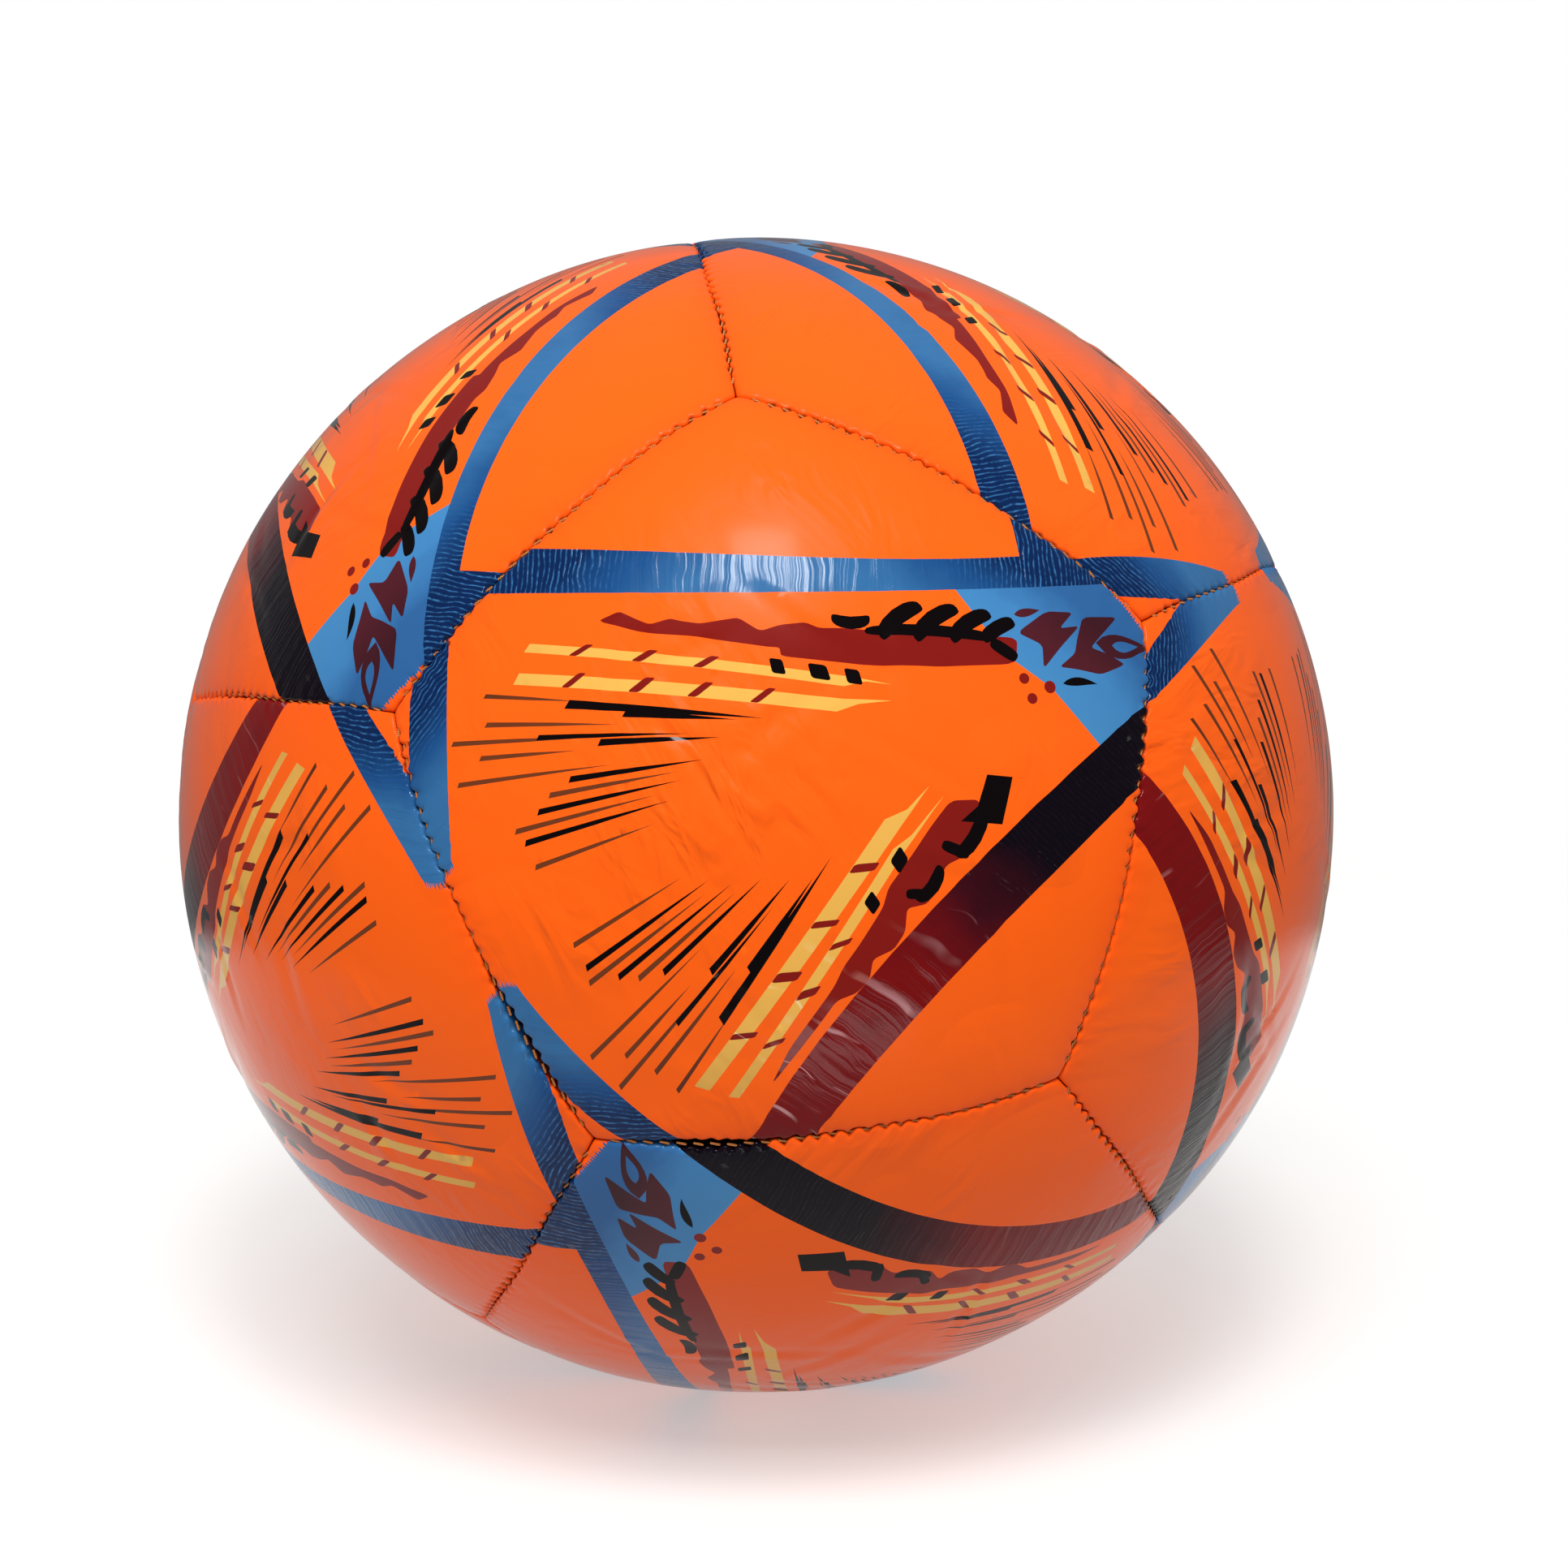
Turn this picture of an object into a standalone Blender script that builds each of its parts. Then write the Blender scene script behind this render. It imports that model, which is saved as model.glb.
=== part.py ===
"""A machine-stitched football: twelve padded five-sided panels sewn round an air bladder.

The wall, from the outside in, is a skin whose edges turn inwards at the seams, a foam pad,
a woven backing and the bladder. Lockstitch thread runs in the seams, a rubber valve passes
through the back panel and a balance patch sits opposite it.
"""

import math

import bmesh
import bpy
from mathutils import Euler, Matrix, Vector

MM = 0.001

# Overall size, a full-size match ball.
BALL_RADIUS = 110.0 * MM

# Wall layers, from the outside in.
SKIN_THICK = 1.0 * MM
FOAM_THICK = 2.2 * MM
BACKING_THICK = 0.8 * MM
BLADDER_THICK = 1.0 * MM
GAP = 0.3 * MM

# Seams.
THREAD_SIZE = 0.7 * MM
THREAD_DEPTH = 2.2 * MM
LIP_THICK = 0.9 * MM
EDGE_ROLL = 0.9 * MM

# Valve and the patch that balances it.
VALVE_TUBE_RADIUS = 4.2 * MM
VALVE_BORE_RADIUS = 2.6 * MM
VALVE_SHOULDER_RADIUS = 1.5 * MM
VALVE_SHOULDER_THICK = 1.2 * MM
VALVE_FLANGE_RADIUS = 11.0 * MM
VALVE_FLANGE_THICK = 1.0 * MM
VALVE_HOUSING_LENGTH = 8.0 * MM
VALVE_RECESS = 0.6 * MM
CORE_RECESS = 0.5 * MM
NEEDLE_CHANNEL_RADIUS = 0.8 * MM
NEEDLE_MOUTH_RADIUS = 1.7 * MM
NEEDLE_MOUTH_DEPTH = 0.8 * MM
PATCH_RADIUS = 11.0 * MM
PATCH_THICK = 1.0 * MM
HOLE_CLEARANCE = 0.4 * MM

# How the ball lies: where its front panel faces, and how far that panel is rolled.
FRONT_AZIMUTH_DEG = 3.46
FRONT_ELEVATION_DEG = 14.93
FRONT_ROLL_DEG = -65.61

# Facets: rows from the middle of a panel to its edge, and sides of a round part.
PANEL_ROWS = 4
ROUND_SIDES = 24

SIDES = 5
GOLDEN = (1 + math.sqrt(5)) / 2
SIDE_TILT = math.atan(1 / GOLDEN)
HALF_STEP = math.pi / SIDES

GROOVE_HALF = THREAD_SIZE / 2 + GAP
PAD_INSET = GROOVE_HALF + LIP_THICK + GAP
SKIN_INNER = BALL_RADIUS - SKIN_THICK
FOAM_OUTER = SKIN_INNER - GAP
FOAM_INNER = FOAM_OUTER - FOAM_THICK
BACKING_OUTER = FOAM_INNER - GAP
BACKING_INNER = BACKING_OUTER - BACKING_THICK
BLADDER_OUTER = BACKING_INNER - GAP
BLADDER_INNER = BLADDER_OUTER - BLADDER_THICK
HOLE_RADIUS = VALVE_TUBE_RADIUS + HOLE_CLEARANCE

# name: (colour, roughness)
FINISHES = {
    "skin": ((0.90, 0.17, 0.02), 0.25),
    "foam": ((0.80, 0.79, 0.75), 0.85),
    "backing": ((0.62, 0.60, 0.54), 0.90),
    "bladder": ((0.05, 0.05, 0.05), 0.60),
    "thread": ((0.85, 0.42, 0.16), 0.70),
    "valve_body": ((0.08, 0.08, 0.08), 0.55),
    "valve_core": ((0.75, 0.73, 0.68), 0.55),
    "balance_patch": ((0.12, 0.12, 0.12), 0.60),
}


def clear_scene():
    for obj in list(bpy.data.objects):
        bpy.data.objects.remove(obj, do_unlink=True)


def make_materials():
    made = {}
    for name, (colour, roughness) in FINISHES.items():
        material = bpy.data.materials.new(name)
        material.use_nodes = True
        shader = material.node_tree.nodes["Principled BSDF"]
        shader.inputs["Base Color"].default_value = (*colour, 1.0)
        shader.inputs["Roughness"].default_value = roughness
        made[name] = material
    return made


def new_object(name, points, faces, material, parent, turn=None):
    """An object from points and faces, its normals out, placed by a turn about the centre."""
    mesh = bpy.data.meshes.new(name)
    mesh.from_pydata(points, [], faces)
    body = bmesh.new()
    body.from_mesh(mesh)
    bmesh.ops.triangulate(body, faces=body.faces)
    bmesh.ops.recalc_face_normals(body, faces=body.faces)
    body.to_mesh(mesh)
    body.free()
    mesh.polygons.foreach_set("use_smooth", [True] * len(mesh.polygons))
    mesh.set_sharp_from_angle(angle=math.radians(35))
    mesh.materials.append(material)
    obj = bpy.data.objects.new(name, mesh)
    bpy.context.collection.objects.link(obj)
    obj.parent = parent
    obj.matrix_local = (turn or Matrix.Identity(3)).to_4x4()
    return obj


def panel_turns():
    """Twelve turns, each taking a panel from the pole to its place. The first is the front one."""
    turns = []
    for shift in range(3):
        for first in (1, -1):
            for second in (1, -1):
                normal = [0.0, float(first), second * GOLDEN]
                nearest = [0.0, 0.0, float(second)]
                normal = Vector(normal[-shift:] + normal[:-shift]).normalized()
                nearest = Vector(nearest[-shift:] + nearest[:-shift])
                apex = -(nearest - nearest.dot(normal) * normal).normalized()
                across = apex.cross(normal)
                turns.append(Matrix((across, apex, normal)).transposed())
    return turns


def side_axes(side):
    """The middle, the inward normal and the run of one side of the panel at the pole."""
    angle = (2 * side + 1) * HALF_STEP
    flat = Vector((math.sin(angle), math.cos(angle), 0.0))
    middle = flat * math.sin(SIDE_TILT) + Vector((0, 0, math.cos(SIDE_TILT)))
    inward = -flat * math.cos(SIDE_TILT) + Vector((0, 0, math.sin(SIDE_TILT)))
    run = inward.cross(middle)
    return middle, inward, run


def corner_tilt(radius, inset):
    """The angle from the panel's middle to its corner, with the sides moved in by inset."""
    rise = math.sin(SIDE_TILT)
    fall = math.cos(HALF_STEP) * math.cos(SIDE_TILT)
    reach = math.hypot(rise, fall)
    return math.acos(inset / (radius * reach)) - math.atan2(fall, rise)


def edge_point(side, share, radius, inset):
    """The point a share of the way along a side that is moved in by inset."""
    middle, inward, run = side_axes(side)
    tilt = corner_tilt(radius, inset)
    angle = 2 * (side + 1) * HALF_STEP
    corner = Vector((math.sin(angle) * math.sin(tilt), math.cos(angle) * math.sin(tilt), math.cos(tilt)))
    span = math.atan2(corner.dot(run), corner.dot(middle))
    swing = span * (2 * share - 1)
    in_plane = math.sqrt(radius * radius - inset * inset)
    return inward * inset + in_plane * (middle * math.cos(swing) + run * math.sin(swing))


def ring(row, radius, inset):
    """The points of one row of the panel at the pole, five sides of row points each."""
    pole = Vector((0, 0, 1))
    if row == 0:
        return [pole * radius]
    points = []
    for side in range(SIDES):
        for step in range(row):
            edge = edge_point(side, step / row, radius, inset).normalized()
            points.append(pole.slerp(edge, row / PANEL_ROWS) * radius)
    return points


def cap(radius, inset, start=0):
    """The points and faces of a whole panel surface, its faces counted from start."""
    points = []
    faces = []
    first = start
    for row in range(PANEL_ROWS + 1):
        here = start + len(points)
        points += ring(row, radius, inset)
        inner_count = max(1, SIDES * (row - 1))
        outer_count = SIDES * row
        for side in range(SIDES if row else 0):
            for step in range(row):
                inner = first + (side * (row - 1) + step) % inner_count
                outer = here + side * row + step
                after = here + (side * row + step + 1) % outer_count
                faces.append((inner, outer, after))
                if step < row - 1:
                    inner_after = first + (side * (row - 1) + step + 1) % inner_count
                    faces.append((inner, after, inner_after))
        first = here
    return points, faces


def pad_shape(outer, inner, inset_outer, inset_inner, rim=()):
    """A closed pad: two surfaces joined round the edge through the (radius, inset) rows of rim."""
    points, faces = cap(outer, inset_outer)
    count = SIDES * PANEL_ROWS
    last = len(points) - count
    for radius, inset in rim:
        here = len(points)
        points += ring(PANEL_ROWS, radius, inset)
        faces += band(last, here, count)
        last = here
    under, under_faces = cap(inner, inset_inner, len(points))
    points += under
    faces += under_faces
    faces += band(last, len(points) - count, count)
    return points, faces


def band(first, second, count):
    """The quads between two rings of points."""
    return [
        (first + i, first + (i + 1) % count, second + (i + 1) % count, second + i)
        for i in range(count)
    ]


def make_panels(materials, ball):
    """Skins with turned-in edges, foam pads and backings: one of each per panel."""
    flat_inset = GROOVE_HALF + EDGE_ROLL
    lip_inset = GROOVE_HALF + LIP_THICK
    roll = EDGE_ROLL * (1 - math.cos(math.pi / 4))
    rim = (
        (BALL_RADIUS - roll, GROOVE_HALF + roll),
        (BALL_RADIUS - EDGE_ROLL, GROOVE_HALF),
        (BACKING_INNER, GROOVE_HALF),
        (BACKING_INNER, lip_inset),
    )
    skin = pad_shape(BALL_RADIUS, SKIN_INNER, flat_inset, lip_inset, rim)
    foam = pad_shape(FOAM_OUTER, FOAM_INNER, PAD_INSET, PAD_INSET)
    backing = pad_shape(BACKING_OUTER, BACKING_INNER, PAD_INSET, PAD_INSET)
    layers = {"skin": skin, "foam": foam, "backing": backing}
    made = {}
    for index, turn in enumerate(panel_turns(), start=1):
        for layer, (points, faces) in layers.items():
            name = f"{layer}_{index:02d}"
            made[name] = new_object(name, points, faces, materials[layer], ball, turn)
    return made


def make_bladder(material, ball):
    """The air bladder, a thin round shell. The valve hole is cut through it later."""
    body = bmesh.new()
    for radius in (BLADDER_OUTER, BLADDER_INNER):
        points, faces = cap(radius, 0.0)
        for turn in panel_turns():
            corners = [body.verts.new(turn @ point) for point in points]
            for face in faces:
                order = face if radius == BLADDER_INNER else reversed(face)
                body.faces.new([corners[i] for i in order])
    bmesh.ops.remove_doubles(body, verts=body.verts, dist=0.01 * MM)
    mesh = bpy.data.meshes.new("bladder")
    body.to_mesh(mesh)
    body.free()
    mesh.polygons.foreach_set("use_smooth", [True] * len(mesh.polygons))
    mesh.materials.append(material)
    obj = bpy.data.objects.new("bladder", mesh)
    bpy.context.collection.objects.link(obj)
    obj.parent = ball
    return obj


def frame_points():
    """The twenty places where three seams meet, as unit vectors."""
    signs = (1, -1)
    found = [Vector((x, y, z)) for x in signs for y in signs for z in signs]
    for a in signs:
        for b in signs:
            found.append(Vector((0, a * GOLDEN, b / GOLDEN)))
            found.append(Vector((a * GOLDEN, b / GOLDEN, 0)))
            found.append(Vector((a / GOLDEN, 0, b * GOLDEN)))
    return [point.normalized() for point in found]


def make_thread(material, ball):
    """The lockstitch thread as one net: a square cord along each seam, joined where three meet."""
    joints = frame_points()
    nearest = min(joints[0].angle(other) for other in joints[1:])
    around = [
        [j for j, other in enumerate(joints) if i != j and joint.angle(other) < nearest * 1.01]
        for i, joint in enumerate(joints)
    ]
    levels = (BALL_RADIUS - THREAD_DEPTH, BALL_RADIUS - THREAD_DEPTH - THREAD_SIZE)
    points = []
    faces = []
    hubs = {}
    for i, joint in enumerate(joints):
        for j in around[i]:
            away = (joints[j] - joints[j].dot(joint) * joint).normalized()
            corner = -away * THREAD_SIZE / math.sqrt(3)
            hubs[i, j] = (len(points), len(points) + 1)
            points += [joint * level + corner for level in levels]
        for level in range(2):
            faces.append([hubs[i, j][level] for j in around[i]])
    for i, joint in enumerate(joints):
        for j in around[i]:
            if j < i:
                continue
            across = joint.cross(joints[j]).normalized()
            rows = [end_row(i, j, joints, around, hubs, across)]
            for step in range(1, PANEL_ROWS):
                middle = joint.slerp(joints[j], step / PANEL_ROWS)
                here = len(points)
                for side in (1, -1):
                    points += [middle * level + across * side * THREAD_SIZE / 2 for level in levels]
                rows.append((here, here + 1, here + 3, here + 2))
            rows.append(end_row(j, i, joints, around, hubs, across))
            for near, far in zip(rows, rows[1:]):
                for k in range(4):
                    after = (k + 1) % 4
                    faces.append((near[k], near[after], far[after], far[k]))
    return new_object("seam_thread", points, faces, material, ball)


def end_row(here, there, joints, around, hubs, across):
    """The four points of a joint where the cord towards another joint starts."""
    others = [j for j in around[here] if j != there]
    plus, minus = sorted(others, key=lambda j: joints[j].dot(across))
    top_plus, low_plus = hubs[here, plus]
    top_minus, low_minus = hubs[here, minus]
    return top_plus, low_plus, low_minus, top_minus


def turned(profile):
    """A ring-shaped solid from a closed (radius, height) profile."""
    points = []
    faces = []
    count = len(profile)
    for turn in range(ROUND_SIDES):
        angle = 2 * math.pi * turn / ROUND_SIDES
        points += [Vector((r * math.cos(angle), r * math.sin(angle), z)) for r, z in profile]
        here = turn * count
        there = (turn + 1) % ROUND_SIDES * count
        for k in range(count):
            after = (k + 1) % count
            faces.append((here + k, here + after, there + after, there + k))
    return points, faces


def disc(radius, low, high):
    """A flat round disc."""
    count = ROUND_SIDES
    angles = [2 * math.pi * i / count for i in range(count)]
    points = [
        Vector((radius * math.cos(a), radius * math.sin(a), height))
        for height in (low, high)
        for a in angles
    ]
    faces = [tuple(range(count)), tuple(range(count, 2 * count))]
    faces += band(0, count, count)
    return points, faces


def under_bladder(reach):
    """The height of a flat disc of this radius that clears the bladder's inner facets by a gap."""
    tilt = corner_tilt(BLADDER_INNER, 0.0) / PANEL_ROWS
    drop = BLADDER_INNER * (1 - math.cos(tilt))
    run = BLADDER_INNER * math.sin(tilt) * math.cos(HALF_STEP)
    return BLADDER_INNER - drop * reach / run - GAP


def make_valve(materials, ball, turn):
    """The rubber valve body with its inner flange, and the core that the needle goes through."""
    face = BALL_RADIUS - VALVE_RECESS
    flange_top = under_bladder(VALVE_FLANGE_RADIUS)
    flange_low = flange_top - VALVE_FLANGE_THICK
    foot = flange_low - VALVE_HOUSING_LENGTH
    shoulder = foot + VALVE_SHOULDER_THICK
    body_profile = (
        (VALVE_BORE_RADIUS, face),
        (VALVE_TUBE_RADIUS, face),
        (VALVE_TUBE_RADIUS, flange_top),
        (VALVE_FLANGE_RADIUS, flange_top),
        (VALVE_FLANGE_RADIUS, flange_low),
        (VALVE_TUBE_RADIUS, flange_low),
        (VALVE_TUBE_RADIUS, foot),
        (VALVE_SHOULDER_RADIUS, foot),
        (VALVE_SHOULDER_RADIUS, shoulder),
        (VALVE_BORE_RADIUS, shoulder),
    )
    core_radius = VALVE_BORE_RADIUS - GAP
    core_top = face - CORE_RECESS
    core_low = shoulder + GAP
    core_profile = (
        (NEEDLE_MOUTH_RADIUS, core_top),
        (core_radius, core_top),
        (core_radius, core_low),
        (NEEDLE_CHANNEL_RADIUS, core_low),
        (NEEDLE_CHANNEL_RADIUS, core_top - NEEDLE_MOUTH_DEPTH),
    )
    for name, profile in (("valve_body", body_profile), ("valve_core", core_profile)):
        points, faces = turned(profile)
        new_object(name, points, faces, materials[name], ball, turn)


def make_patch(material, ball, turn):
    """The balance patch inside the bladder, opposite the valve."""
    top = under_bladder(PATCH_RADIUS)
    points, faces = disc(PATCH_RADIUS, top - PATCH_THICK, top)
    new_object("balance_patch", points, faces, material, ball, turn)


def cut_valve_hole(pieces, ball, turn, material):
    """Cuts the valve's passage through every layer of the back panel and the bladder."""
    low = BLADDER_INNER - 10 * MM
    high = BALL_RADIUS + 10 * MM
    points, faces = disc(HOLE_RADIUS, low, high)
    cutter = new_object("valve_cutter", points, faces, material, ball, turn)
    cutter.hide_render = True
    cutter.display_type = "WIRE"
    for piece in pieces:
        modifier = piece.modifiers.new("valve_hole", "BOOLEAN")
        modifier.operation = "DIFFERENCE"
        modifier.solver = "EXACT"
        modifier.object = cutter


def main():
    clear_scene()
    materials = make_materials()
    ball = bpy.data.objects.new("football", None)
    bpy.context.collection.objects.link(ball)
    facing = Euler((math.radians(90 - FRONT_ELEVATION_DEG), 0, math.radians(FRONT_AZIMUTH_DEG)))
    roll = Matrix.Rotation(math.radians(FRONT_ROLL_DEG), 3, "Z")
    turns = panel_turns()
    front, back = turns[0], turns[3]
    ball.matrix_world = (facing.to_matrix() @ roll @ front.transposed()).to_4x4()
    panels = make_panels(materials, ball)
    bladder = make_bladder(materials["bladder"], ball)
    make_thread(materials["thread"], ball)
    make_valve(materials, ball, back)
    make_patch(materials["balance_patch"], ball, front)
    layers = [panels[f"{layer}_04"] for layer in ("skin", "foam", "backing")]
    cut_valve_hole([*layers, bladder], ball, back, materials["valve_core"])


main()
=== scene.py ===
"""A machine-stitched football: printed, padded panels with turned-in edges, thread and valve."""

import logging
import math
from dataclasses import dataclass, field
from enum import Enum

import bpy
import numpy as np
from mathutils import Matrix, Vector
from mathutils.geometry import delaunay_2d_cdt

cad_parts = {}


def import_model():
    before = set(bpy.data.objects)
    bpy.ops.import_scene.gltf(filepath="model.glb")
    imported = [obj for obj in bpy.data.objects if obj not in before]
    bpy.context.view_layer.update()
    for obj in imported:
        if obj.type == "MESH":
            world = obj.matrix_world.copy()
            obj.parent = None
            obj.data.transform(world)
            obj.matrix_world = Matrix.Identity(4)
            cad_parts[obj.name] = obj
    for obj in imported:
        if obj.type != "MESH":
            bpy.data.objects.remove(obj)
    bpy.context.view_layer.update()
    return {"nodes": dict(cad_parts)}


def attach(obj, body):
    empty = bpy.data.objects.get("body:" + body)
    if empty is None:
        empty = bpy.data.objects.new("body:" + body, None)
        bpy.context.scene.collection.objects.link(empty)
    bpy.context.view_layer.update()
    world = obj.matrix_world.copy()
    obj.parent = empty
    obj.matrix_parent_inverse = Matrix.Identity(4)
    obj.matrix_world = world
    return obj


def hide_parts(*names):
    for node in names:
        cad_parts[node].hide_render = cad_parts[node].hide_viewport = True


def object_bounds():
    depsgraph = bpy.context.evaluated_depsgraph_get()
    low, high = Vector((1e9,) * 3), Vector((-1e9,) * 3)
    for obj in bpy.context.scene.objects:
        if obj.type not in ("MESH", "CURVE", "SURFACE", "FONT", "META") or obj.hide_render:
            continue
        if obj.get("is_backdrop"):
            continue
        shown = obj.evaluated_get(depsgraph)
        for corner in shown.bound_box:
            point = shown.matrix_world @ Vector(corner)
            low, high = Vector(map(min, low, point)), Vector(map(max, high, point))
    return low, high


LOG = logging.getLogger("football")
MM = 0.001
BODY = "root"
FRONT_PANEL = 1
VALVE_PANEL = 4
VALVE_HOLE = 4.5 * MM
LIGHTLY_HANDLED = 0.22
MUCH_HANDLED = 1.0
Point = tuple[float, float]


# Colour and shader help.


def linear(code: str) -> tuple[float, float, float, float]:
    """Turns an sRGB colour into the linear values that sockets take.

    Args:
        code: Six hex digits, such as "FF6A1E".

    Returns:
        Linear red, green and blue, and an alpha of 1.
    """
    parts = [int(code[i : i + 2], 16) / 255 for i in (0, 2, 4)]
    turned = [p / 12.92 if p <= 0.04045 else ((p + 0.055) / 1.055) ** 2.4 for p in parts]
    return (turned[0], turned[1], turned[2], 1.0)


def add_node(
    tree: bpy.types.NodeTree,
    kind: str,
    settings: dict[str | int, object] | None = None,
    links: dict[str | int, bpy.types.NodeSocket] | None = None,
) -> bpy.types.Node:
    """Adds a node with its settings and its incoming links.

    Args:
        tree: The node tree that takes it.
        kind: The node's type name.
        settings: Values by property name, or by input name or number.
        links: Output sockets by the input name or number that each goes to.

    Returns:
        The new node.
    """
    node = tree.nodes.new(kind)
    for name, value in (settings or {}).items():
        if isinstance(name, str) and hasattr(node, name):
            setattr(node, name, value)
        else:
            node.inputs[name].default_value = value
    for name, source in (links or {}).items():
        tree.links.new(source, node.inputs[name])
    return node


def fill_ramp(ramp: bpy.types.Node, stops: list[tuple[float, str]]) -> None:
    """Gives a colour ramp its stops.

    Args:
        ramp: The colour ramp node.
        stops: Pairs of place and hex colour, from low to high.
    """
    elements = ramp.color_ramp.elements
    while len(elements) < len(stops):
        elements.new(0.5)
    for element, (place, code) in zip(elements, stops):
        element.position = place
        element.color = linear(code)


def new_material(name: str) -> tuple[bpy.types.Material, bpy.types.NodeTree, bpy.types.Node]:
    """Makes an empty material with a Principled shader.

    Args:
        name: The material's name.

    Returns:
        The material, its node tree and its shader node.
    """
    material = bpy.data.materials.new(name)
    material.use_nodes = True
    tree = material.node_tree
    return material, tree, tree.nodes["Principled BSDF"]


# Finishes.


class Ink(Enum):
    """What a patch of a panel's film is printed with. The value is its material slot."""

    ORANGE = 0
    BLUE = 1
    WINE = 2
    SKY = 3
    CREAM = 4
    RUST = 5
    BLACK = 6
    UMBER = 7
    PLUM = 8


@dataclass(frozen=True)
class OrangeFilm:
    """Calendered PVC film, dyed orange: a satin face with a faint orange-peel."""

    name: str = "calendered_pvc_film_orange"
    open_colour: str = "FF6107"
    # Painted shade towards the seams, where their valleys lie.
    valley_shade_colour: str = "FF5A06"
    # Painted shade on the lips inside the seams and at the stitch pits.
    pit_shade_colour: str = "7A1C06"
    crease_mm: float = 7.0
    crease_height: float = 0.95 * MM
    roughness: float = 0.38
    gloss_roughness: float = 0.15
    peel_mm: float = 1.7
    peel_height: float = 0.012 * MM
    mottle_per_m: float = 45.0
    crease_patches_per_mm: float = 0.035
    drawn_deg: float = -35.0
    drawn_out: float = 0.4
    ior: float = 1.46
    mirror: float = 0.18
    lacquer_ior: float = 1.17

    def build(self) -> bpy.types.Material:
        """Builds the material.

        Returns:
            Satin orange with painted shade: a little deeper towards the seams, and dark on the lips inside them and at
                each stitch pit.
        """
        material, tree, shader = new_material(self.name)
        place = add_node(tree, "ShaderNodeTexCoord").outputs["Object"]
        flat = add_node(tree, "ShaderNodeAttribute", {"attribute_name": "flat_mm"}).outputs["Vector"]
        # Painted shade: the film's colour deepens towards the seams, where their valleys lie.
        seam = add_node(tree, "ShaderNodeAttribute", {"attribute_name": "seam_valley_shade"}).outputs["Fac"]
        # Painted shade on the lips inside the seams and at each stitch pit.
        pit_shade_attr = add_node(tree, "ShaderNodeAttribute", {"attribute_name": "seam_pit_shade"}).outputs["Fac"]
        mottle = add_node(tree, "ShaderNodeTexNoise", {"Scale": self.mottle_per_m, "Detail": 2.0}, {"Vector": place})
        drift = add_node(
            tree,
            "ShaderNodeMath",
            {"operation": "MULTIPLY_ADD", 1: 0.25, "use_clamp": True},
            {0: mottle.outputs["Fac"], 2: seam},
        )
        colour = add_node(tree, "ShaderNodeValToRGB", {}, {0: drift.outputs[0]})
        fill_ramp(colour, [(0.12, self.open_colour), (1.0, self.valley_shade_colour)])
        pit_shade_amount = add_node(
            tree,
            "ShaderNodeMapRange",
            {"From Min": 0.15, "From Max": 0.85, "To Max": 0.9},
            {"Value": pit_shade_attr},
        )
        seam_shaded = add_node(
            tree, "ShaderNodeMix", {"data_type": "RGBA"}, {"Factor": pit_shade_amount.outputs[0], 6: colour.outputs[0]}
        )
        seam_shaded.inputs[7].default_value = linear(self.pit_shade_colour)
        tree.links.new(seam_shaded.outputs[2], shader.inputs["Base Color"])
        drawn = add_node(
            tree,
            "ShaderNodeMapping",
            {"Rotation": (0.0, 0.0, math.radians(self.drawn_deg)), "Scale": (self.drawn_out, 1.0, 1.0)},
            {"Vector": flat},
        )
        swell = add_node(
            tree,
            "ShaderNodeTexNoise",
            {"Scale": 1 / self.crease_mm, "Detail": 2.5, "Distortion": 0.9},
            {"Vector": drawn.outputs[0]},
        )
        patches = add_node(
            tree, "ShaderNodeTexNoise", {"Scale": self.crease_patches_per_mm, "Detail": 1.0}, {"Vector": flat}
        )
        share = add_node(
            tree,
            "ShaderNodeMapRange",
            {"From Min": 0.46, "From Max": 0.64, "To Max": 1.0},
            {"Value": patches.outputs["Fac"]},
        )
        handled = add_node(tree, "ShaderNodeAttribute", {"attribute_name": "handled"}).outputs["Fac"]
        most = add_node(tree, "ShaderNodeMath", {"operation": "MAXIMUM"}, {0: share.outputs[0], 1: handled})
        folds = add_node(
            tree, "ShaderNodeMath", {"operation": "MULTIPLY"}, {0: swell.outputs["Fac"], 1: most.outputs[0]}
        )
        peel = add_node(
            tree, "ShaderNodeTexNoise", {"Scale": 1 / (self.peel_mm * MM), "Detail": 3.0}, {"Vector": place}
        )
        relief = add_node(
            tree,
            "ShaderNodeMath",
            {"operation": "MULTIPLY_ADD", 1: self.crease_height / self.peel_height},
            {0: folds.outputs[0], 2: peel.outputs["Fac"]},
        )
        bump = add_node(
            tree,
            "ShaderNodeBump",
            {"Strength": 1.0, "Distance": self.peel_height},
            {"Height": relief.outputs[0]},
        )
        tree.links.new(bump.outputs[0], shader.inputs["Normal"])
        shader.inputs["Roughness"].default_value = self.roughness
        shader.inputs["IOR"].default_value = self.ior
        shader.inputs["Specular IOR Level"].default_value = self.mirror
        shader.inputs["Coat Weight"].default_value = 1.0
        shader.inputs["Coat Roughness"].default_value = self.gloss_roughness
        shader.inputs["Coat IOR"].default_value = self.lacquer_ior
        return material


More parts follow.
